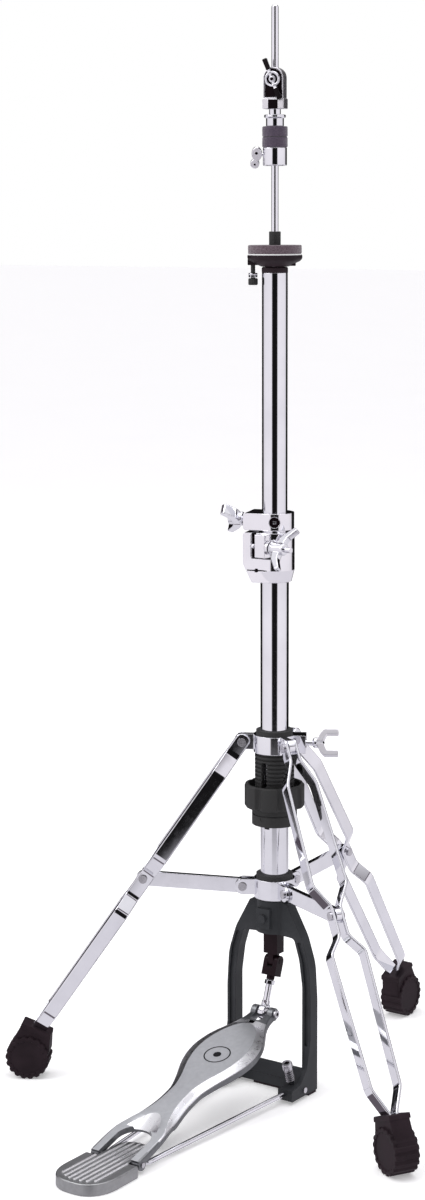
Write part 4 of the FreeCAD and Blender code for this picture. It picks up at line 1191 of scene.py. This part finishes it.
@dataclass
class Wings:
    """The wing bolt of the upper collar, and the wings of the memory lock and the clamp."""

    collar: float = 30.0
    lock: float = 198.0
    clamp: float = -7.0
    key: float = -57.0

    def build(self) -> None:
        """Build the wings, the painted shade in the clamp's slits and seams, and the key screw
        beside them.
        """
        self.build_collar_wing()
        self.build_slit_shade()
        self.build_butterfly("lock_wing_cast", "lock_wing_screw",
                             ((1, 2), (10, 5.4), (19.6, 15.6), (16.4, 20.6), (8, 13.4), (1, 10)),
                             5.6, -12.0, facing(along(self.lock, 32, 589.5), self.lock, 52))
        self.build_butterfly("clamp_wing_cast", "clamp_wing_nut",
                             ((1, 4), (13.6, 7.8), (25, 18.6), (22.6, 23), (12, 15.4), (1, 14)),
                             3.4, 1.0, facing(along(self.clamp, 14, 564.5, -21), self.clamp, 40))

    def build_collar_wing(self) -> None:
        """Build the wing bolt of the upper collar, with two square-ended blades."""
        hub = [(0, 2.0), (4.2, 2.0), (5.4, 3.4), (5.4, 8.0), (4.6, 12.0), (0, 14.0)]
        blade = [(1.0, 5.5), (9.4, 9.6), (13.2, 13.4), (13.2, 27.6), (8.6, 27.6), (8.6, 16.0),
                 (1.0, 12.5)]
        piece = Piece("collar_wing_bolt_cast").add(Shape().pin(3.0, -22, 6), Finish.CHROME)
        piece.add(Shape().lathe(hub, 40), Finish.CHROME)
        for side in SIDES:
            form = Shape().slab(mirrored(side, blade), -6.6, 6.6, 0.8, 3).edge_round(1.6, 3)
            piece.add(form.placed(UPRIGHT), Finish.SATIN)
        piece.done("collar_wing_bolt", "chrome", "collar_wing_bolt",
                   matrix=facing(along(self.collar, 37, 362), self.collar, 24))

    def build_slit_shade(self) -> None:
        """Build near-black blocks and a disc as painted shade in the clamp's slits, seam and hole,
        and the lock's key screw.
        """
        piece = Piece("clamp_slit_shade")
        # Painted shade: near-black blocks in the clamp's slits and seam, and a near-black disc in a
        # hole, where there is only shade.
        for low, high in (((14.35, 8.0, 553.3), (18.65, 13.6, 577.0)),
                          ((-2.5, 15.0, 552.3), (14.0, 16.2, 554.0)),
                          ((4.0, 15.4, 539.7), (24.0, 16.2, 540.6))):
            piece.add(Shape().block(low, high), Finish.HOLLOW_SHADE)
        piece.add(Shape().rod(1.9, (14, 14.6, 540.2), (14, 16.3, 540.2), 24), Finish.HOLLOW_SHADE)
        piece.done("chassis", "black_plastic", matrix=turn_about("Z", self.lock))
        head = Shape().block((-1.7, -1.7, 17.5), (1.7, 1.7, 18.6)).edge_round(0.4)
        # The key screw sits on a near-black disc: painted shade in its socket.
        key = Piece("lock_key_screw").add(Shape().pin(5.2, 16.2, 17.6, 40), Finish.HOLLOW_SHADE)
        key.add(head, Finish.STEEL).done("memory_lock", "steel",
                                         matrix=facing((0, 0, 589.0), self.key))

    def build_butterfly(self, name: str, node: str, outline: Sequence[Flat], half: float,
                        shank: float, place: Matrix) -> None:
        """Build a cast wing with two blades on a turned hub.

        Args:
            name: the piece's name.
            node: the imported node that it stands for, which is also its body.
            outline: one blade's outline, out from the axis and up along it.
            half: half the blade's thickness.
            shank: where its shank starts.
            place: where it goes.
        """
        top = max(height for _, height in outline) * 0.78
        hub = [(0, 0.6), (6.4, 0.6), (7.0, 1.4), (7.0, 2.4), (6.0, 3.0), (6.2, top - 2.0),
               (5.4, top - 0.6), (0, top)]
        piece = Piece(name).add(Shape().pin(3.0, shank, 4), Finish.CHROME)
        piece.add(Shape().lathe(hub), Finish.CHROME)
        # A near-black disc on the hub's top: painted shade in its socket.
        piece.add(Shape().pin(1.6, top - 0.4, top + 0.1), Finish.HOLLOW_SHADE)
        for side in SIDES:
            blade = Shape().slab(mirrored(side, outline), -half, half, 1.6, 4)
            piece.add(blade.edge_round(1.4, 3).placed(UPRIGHT), Finish.CHROME)
        piece.done(node, "chrome", node, matrix=place)


# ---------------------------------------------------------------- pedal


@dataclass
class Footboard:
    """The cast footboard: a satin flat that widens to an oval, inside a polished rim with a painted
    highlight, over sides darkened as painted shade.
    """

    hinge: Point = (0.0, -268.0, 12.0)
    tilt: float = 15.7
    top: float = 3.5
    bottom: float = -6.5
    heel_bottom: float = -3.2
    length: float = 258.7
    oval_end: float = 231.0
    notch: float = 19.1
    notch_centre: float = 24.0
    link_pivot: Point = (0.0, -1.4, 132.0)
    link_length: float = 53.0
    link_tilt: float = 19.34
    scoop: float = 38.0
    scoop_run: float = 24.0
    scoop_depth: float = 4.0
    mark_place: float = 172.0
    columns: int = 15
    rows: tuple[float, ...] = (
        -4, 0, 6, 12, 18, 24, 30, 34, 38, 42, 46, 50, 55, 60, 66, 72, 78, 84, 90, 96, 102, 108,
        114, 120, 126, 132, 138, 144, 150, 156, 162, 168, 174, 180, 186, 192, 198, 203, 208, 212,
        216, 219, 222, 224.5, 226.5, 228, 229.2, 230.2, 231, 234, 238, 242, 246, 250, 254, 258, 262)
    half_widths: tuple[Flat, ...] = (
        (-4, 28.5), (0, 29), (20, 29), (36, 28), (50, 25.6), (64, 23), (77, 20.5), (90, 18.6),
        (102, 18.0), (114, 18.4), (131, 23.5), (150, 31), (162, 34.6), (172, 36.4), (181, 36.9),
        (190, 36.2), (206, 32), (222, 24), (230, 19.6), (238, 16), (246, 13.8), (252, 13),
        (262, 13))
    flats: tuple[Flat, ...] = (
        (-4, 27.4), (36, 26.8), (50, 22.6), (64, 17.2), (77, 13.4), (90, 11.4), (102, 11.0),
        (114, 11.4), (131, 15.6), (150, 22.4), (165, 26.0), (178, 27.4), (190, 26.8), (202, 24.0),
        (212, 20.2), (220, 15.8), (226, 11.0), (229.5, 6.4), (231, 2.0))
    drops: tuple[Flat, ...] = ((-4, 0.7), (36, 0.8), (50, 2.4), (64, 4.2), (90, 5.0), (114, 4.8),
                               (150, 3.4), (190, 3.0), (222, 2.6), (240, 2.4), (262, 2.4))

    @property
    def place(self) -> Matrix:
        """The board's placement: local y runs up the board from the hinge."""
        return Matrix.Translation(self.hinge) @ turn_about("X", self.tilt)

    def build(self) -> None:
        """Build the board, carve its notch and windows, and add its mark and pins."""
        # The board starts in the cast finish darkened as painted shade; paint_faces then gives its
        # top the satin panel and its rim the polished finish with a painted highlight.
        made = Piece("footboard_cast").add(self.slab(), Finish.CAST).loose(self.place)
        for finish in (Finish.POLISHED_LIT, Finish.PANEL):
            made.data.materials.append(finish.paint)
        self.paint_faces(made.data)
        carve(made, self.cutters())
        seat_on(made, "footboard", "cast_aluminium", "footboard", sharp=26)
        self.build_lugs()
        self.build_mark()
        self.build_eye()

    def slab(self) -> Shape:
        """The whole board before it's carved.

        Returns:
            The closed board.
        """
        shape, columns, rows = Shape(), self.columns - 1, len(self.rows) - 1
        bmesh.ops.create_grid(shape.work, x_segments=columns, y_segments=rows, size=1.0)
        for vert in shape.work.verts:
            column = round((vert.co.x + 1) / 2 * columns) - columns // 2
            vert.co = self.surface(column, self.rows[round((vert.co.y + 1) / 2 * rows)])
        under = ((-4, self.heel_bottom), (52, self.heel_bottom), (64, self.bottom),
                 (262, self.bottom))
        for vert in shape.thicken(0.0):
            vert.co.z = between(under, vert.co.y)
        return shape

    def surface(self, column: int, place: float) -> Vector:
        """A point of the board's top.

        Args:
            column: which of the lengthwise lines it's on, from -7 to 7.
            place: how far up the board it is.

        Returns:
            The point.
        """
        half, drop = between(self.half_widths, place), between(self.drops, place)
        past = place > self.oval_end
        flat = 2.0 if past else between(self.flats, place)
        rim = half - flat
        across, down = ((0.0, 0.0), (flat * 0.45, 0.0), (flat - 0.6, 0.0), (flat, 0.25),
                        (flat + rim * 0.35, 0.25 + drop * 0.42),
                        (flat + rim * 0.72, drop * 0.86), (half - 0.5, drop + 0.1),
                        (half, drop + 0.8))[abs(column)]
        down = max(down, 1.1) if past else down
        return Vector((math.copysign(across, column), place, self.top - down))

    def paint_faces(self, data: bpy.types.Mesh) -> None:
        """Give the sloping rim the polished finish with its painted highlight and the flat top the
        satin panel; other faces keep the cast finish darkened as painted shade.

        Args:
            data: the board's mesh, in place.
        """
        back = self.place.inverted() @ Matrix.Scale(1 / MM, 4)
        for face in data.polygons:
            spot = back @ face.center
            top = (back.to_3x3() @ face.normal).normalized().z > 0.25
            # Upward faces are lighter than the rest: painted light and shade chosen by which way a
            # face points.
            if top and spot.y < self.oval_end and abs(spot.x) < between(self.flats, spot.y) - 0.3:
                face.material_index = 2
            elif top and 30 < spot.y < 240:
                face.material_index = 1

    def cutters(self) -> list[bpy.types.Object]:
        """The tools that carve the heel notch with its scoop, the window and the square hole.

        Returns:
            The tool objects.
        """
        end, side, far = self.notch_centre + self.notch, self.notch, self.length
        fall = Vector((0, -self.scoop_run, -self.scoop_depth)).normalized()
        rise = Vector((0, self.scoop_depth, -self.scoop_run)).normalized()
        mouth = Vector((0, end + self.scoop_run, self.top)) - self.scoop * rise
        start = mouth + fall * (self.scoop_run + 2.5)
        window = [(-6.6, far - 15), (-4.6, far - 18.5), (4.6, far - 18.5), (6.6, far - 15),
                  (6.6, far + 20), (-6.6, far + 20)]
        # Each tool's finish goes on the walls it cuts: the scoop gets the polished finish with its
        # painted highlight, the notch and window the cast finish darkened as painted shade, and the
        # square hole the mark's black as painted shade in the hole.
        tools = (("scoop", Shape().rod(self.scoop, mouth - fall * 40, start, 96), Finish.POLISHED_LIT),
                 ("notch", Shape().block((-side, -30, -20), (side, self.notch_centre, 20)),
                  Finish.CAST),
                 ("bow", Shape().rod(side, (0, self.notch_centre, -20), (0, self.notch_centre, 20),
                                     72), Finish.CAST),
                 ("window", Shape().slab(window, -20, 20), Finish.CAST),
                 ("square", Shape().block((-3.0, far - 26, -20), (3.0, far - 20.6, 20)),
                  Finish.MARK))
        return [Piece(name).add(shape, finish).loose(self.place) for name, shape, finish in tools]

    def build_lugs(self) -> None:
        """Build the heel barrels, the clevis lugs, and the clevis pin with its screw head."""
        piece, far = Piece("footboard_barrels"), self.length
        for side in SIDES:
            barrel = Shape().rod(5.7, (side * 19.6, 0, -3), (side * 28.8, 0, -3), 40)
            cap = Shape().rod(2.4, (side * 28.7, 0, -3), (side * 29.3, 0, -3), 24)
            lug = Shape().rod(6.7, (side * 6.7, far, -1), (side * 13.2, far, -1), 40)
            # The barrels and lugs take the cast finish darkened as painted shade.
            piece.add(barrel.edge_round(0.5), Finish.CAST).add(cap, Finish.STEEL)
            piece.add(lug.edge_round(0.6), Finish.CAST)
        piece.done("footboard", "cast_aluminium", matrix=self.place)
        bar = Shape().rod(2.8, (-14.4, far, 0), (14.4, far, 0), 24)
        head = Shape().rod(4.3, (13.2, far, 0), (16.2, far, 0)).edge_round(0.6)
        # The socket is a near-black disc on the head: painted shade in the socket.
        socket = Shape().rod(2.0, (16.1, far, 0), (16.35, far, 0), 6)
        pin = Piece("clevis_pin_and_head").add(bar, Finish.STEEL).add(head, Finish.STEEL)
        pin.add(socket, Finish.HOLLOW_SHADE)
        pin.done("footboard", "steel", "clevis_pin", matrix=self.place)

    def build_eye(self) -> None:
        """Build the link's chrome rod and the eye that the clevis pin goes through."""
        across = Matrix.Translation((0, 0, -self.link_length)) @ turn_about("Y", 90)
        eye = Shape().lathe([(4.9, -3.4), (6.6, -4.0), (8.0, -2.8), (8.4, 0), (8.0, 2.8),
                             (6.6, 4.0), (4.9, 3.4)], 48, True)
        ball = Shape().lathe([(2.9, -4.6), (4.2, -3.2), (4.8, 0), (4.2, 3.2), (2.9, 4.6)], 40,
                             True)
        rod = Shape().lathe([(0, -45.4), (4.4, -45.4), (4.4, -42.0), (3.5, -40.6), (3.5, -19.7),
                             (0, -19.7)], 40)
        piece = Piece("link_rod_and_eye").add(eye.placed(across), Finish.CHROME)
        piece.add(ball.placed(across), Finish.STEEL).add(rod, Finish.CHROME)
        piece.add(Shape().pin(5.4, -24.6, -20.2, 6).edge_round(0.5), Finish.CHROME)
        place = Matrix.Translation(self.link_pivot) @ turn_about("X", -self.link_tilt)
        piece.done("drive_link", "chrome", "link_eye_rod", matrix=place)

    def build_mark(self) -> None:
        """Build the plain ring and dot inlaid in the oval."""
        piece, low, high = Piece("plain_ring_mark"), self.top - 0.3, self.top + 0.12
        middle = Matrix.Translation((0, self.mark_place, 0))
        ring = Shape().lathe([(12.6, low), (13.9, low), (13.9, high), (12.6, high)], 72, True)
        dot = Shape().lathe([(0, low), (4.2, low), (4.2, high), (0, high)])
        piece.add(ring.placed(middle), Finish.MARK).add(dot.placed(middle), Finish.MARK)
        piece.done("footboard", "cast_aluminium", matrix=self.place)


@dataclass
class HeelPlate:
    """The ribbed heel plate and the tongue that the footboard's fork straddles."""

    hinge_y: float = -268.0
    shoulder: float = 8.5
    half: float = 31.0
    tongue: float = 18.5
    height: float = 12.0
    ribs: int = 7
    pitch: float = 6.3

    def build(self) -> None:
        """Build the plate, its tongue and its ribs."""
        y = self.hinge_y - self.shoulder
        outline = [(self.tongue, y), *arc((0, self.hinge_y + 21), (self.tongue, 16.6), 0, 1, 18),
                   (-self.tongue, y), (-self.half, y)]
        outline += [(self.half * math.copysign(abs(x) ** 0.72, x), front)
                    for x, front in arc((0, self.hinge_y - 41), (1, 32), 1, 2, 18)]
        outline.append((self.half, y))
        plate = Shape().slab(outline, 0.0, self.height).edge_round(1.4, 3, 50)
        piece = Piece("heel_plate_cast").add(plate, Finish.HEEL)
        for index in range(self.ribs):
            piece.add(self.rib((index - (self.ribs - 1) / 2) * self.pitch), Finish.RIB)
        piece.done("chassis", "heel_aluminium", "heel_plate")

    def rib(self, across: float) -> Shape:
        """One lengthwise ridge, ending at the nose's rim.

        Args:
            across: its distance from the middle.

        Returns:
            The closed ridge.
        """
        y, high = self.hinge_y, self.height
        reach = 41 + 25.5 * math.sqrt(max(0.0, 1 - (across / 27.5) ** 2))
        back = 20.5 + 15 * math.sqrt(1 - (across / 18) ** 2) if abs(across) < 17 else -9.5
        shape = Shape().slab([(-1.6, high - 0.6), (1.6, high - 0.6), (0.7, high + 1.1),
                              (-0.7, high + 1.1)], y - reach, y + back)
        turn = Matrix(((1, 0, 0, across), (0, 0, 1, 0), (0, 1, 0, 0), (0, 0, 0, 1)))
        return shape.placed(turn).edge_round(0.25)


@dataclass
class Spurs:
    """The two spring-loaded spurs that stop the pedal creeping."""

    out: float = 38.0
    tip: Flat = (-21.3, 1.5)
    lean: float = 19.2
    seat: float = 17.0
    keep: float = 0.6

    def build(self) -> None:
        """Build both spurs and their springs."""
        screw = [(0, 0.1), (0.8, 0.1), (3.0, 4.0), (3.0, 33.0), (0, 33.0)]
        head = [(0, 33.0), (5.0, 33.0), (5.5, 33.6), (5.5, 39.6), (4.9, 40.5), (2.9, 40.5),
                (2.7, 40.2), (2.7, 37.0), (0, 37.0)]
        for side, name, nodes in ((-1, "left", ("spur_springs",)), (1, "right", ())):
            place = (Matrix.Translation((side * self.out, *self.tip))
                     @ turn_about("X", self.lean))
            piece = Piece(f"{name}_spur_screw").add(Shape().lathe(screw, 32), Finish.STEEL)
            piece.add(Shape().lathe(head).knurled(5.3, 2, 1, 0.955), Finish.STEEL)
            # A near-black disc at the bottom of the head's socket: painted shade.
            piece.add(Shape().pin(2.65, 36.9, 37.2, 6), Finish.HOLLOW_SHADE)
            piece.done(f"{name}_spur", "steel", f"{name}_spur", matrix=place)
            coil = Shape().coil(4.05, 0.7, 17.8, 32.2, 6)
            made = Piece(f"{name}_spur_spring").add(coil, Finish.WIRE).done(
                "chassis", "spring_steel", *nodes, matrix=place)
            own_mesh(made)


def dress_nodes() -> None:
    """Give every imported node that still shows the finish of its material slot."""
    for part in frame["record"]["subparts"]:
        name, slot = part["node"], part["material_slot"]
        node = frame["nodes"][name]
        node.data.materials.clear()
        node.data.materials.append(NODE_FINISH.get(name, SLOT_FINISH[slot]).paint)


def main() -> None:
    """Build the stand's looks, piece by piece."""
    logging.basicConfig(level=logging.INFO, format="%(message)s")
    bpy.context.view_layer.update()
    Studio().build()
    dress_nodes()
    for assembly in (Legs(), Column(), Seat(), Clutch(), Wings(), Footboard(), HeelPlate(),
                     Spurs()):
        assembly.build()
        log.info("built %s", type(assembly).__name__)


if __name__ == "__main__":
    main()
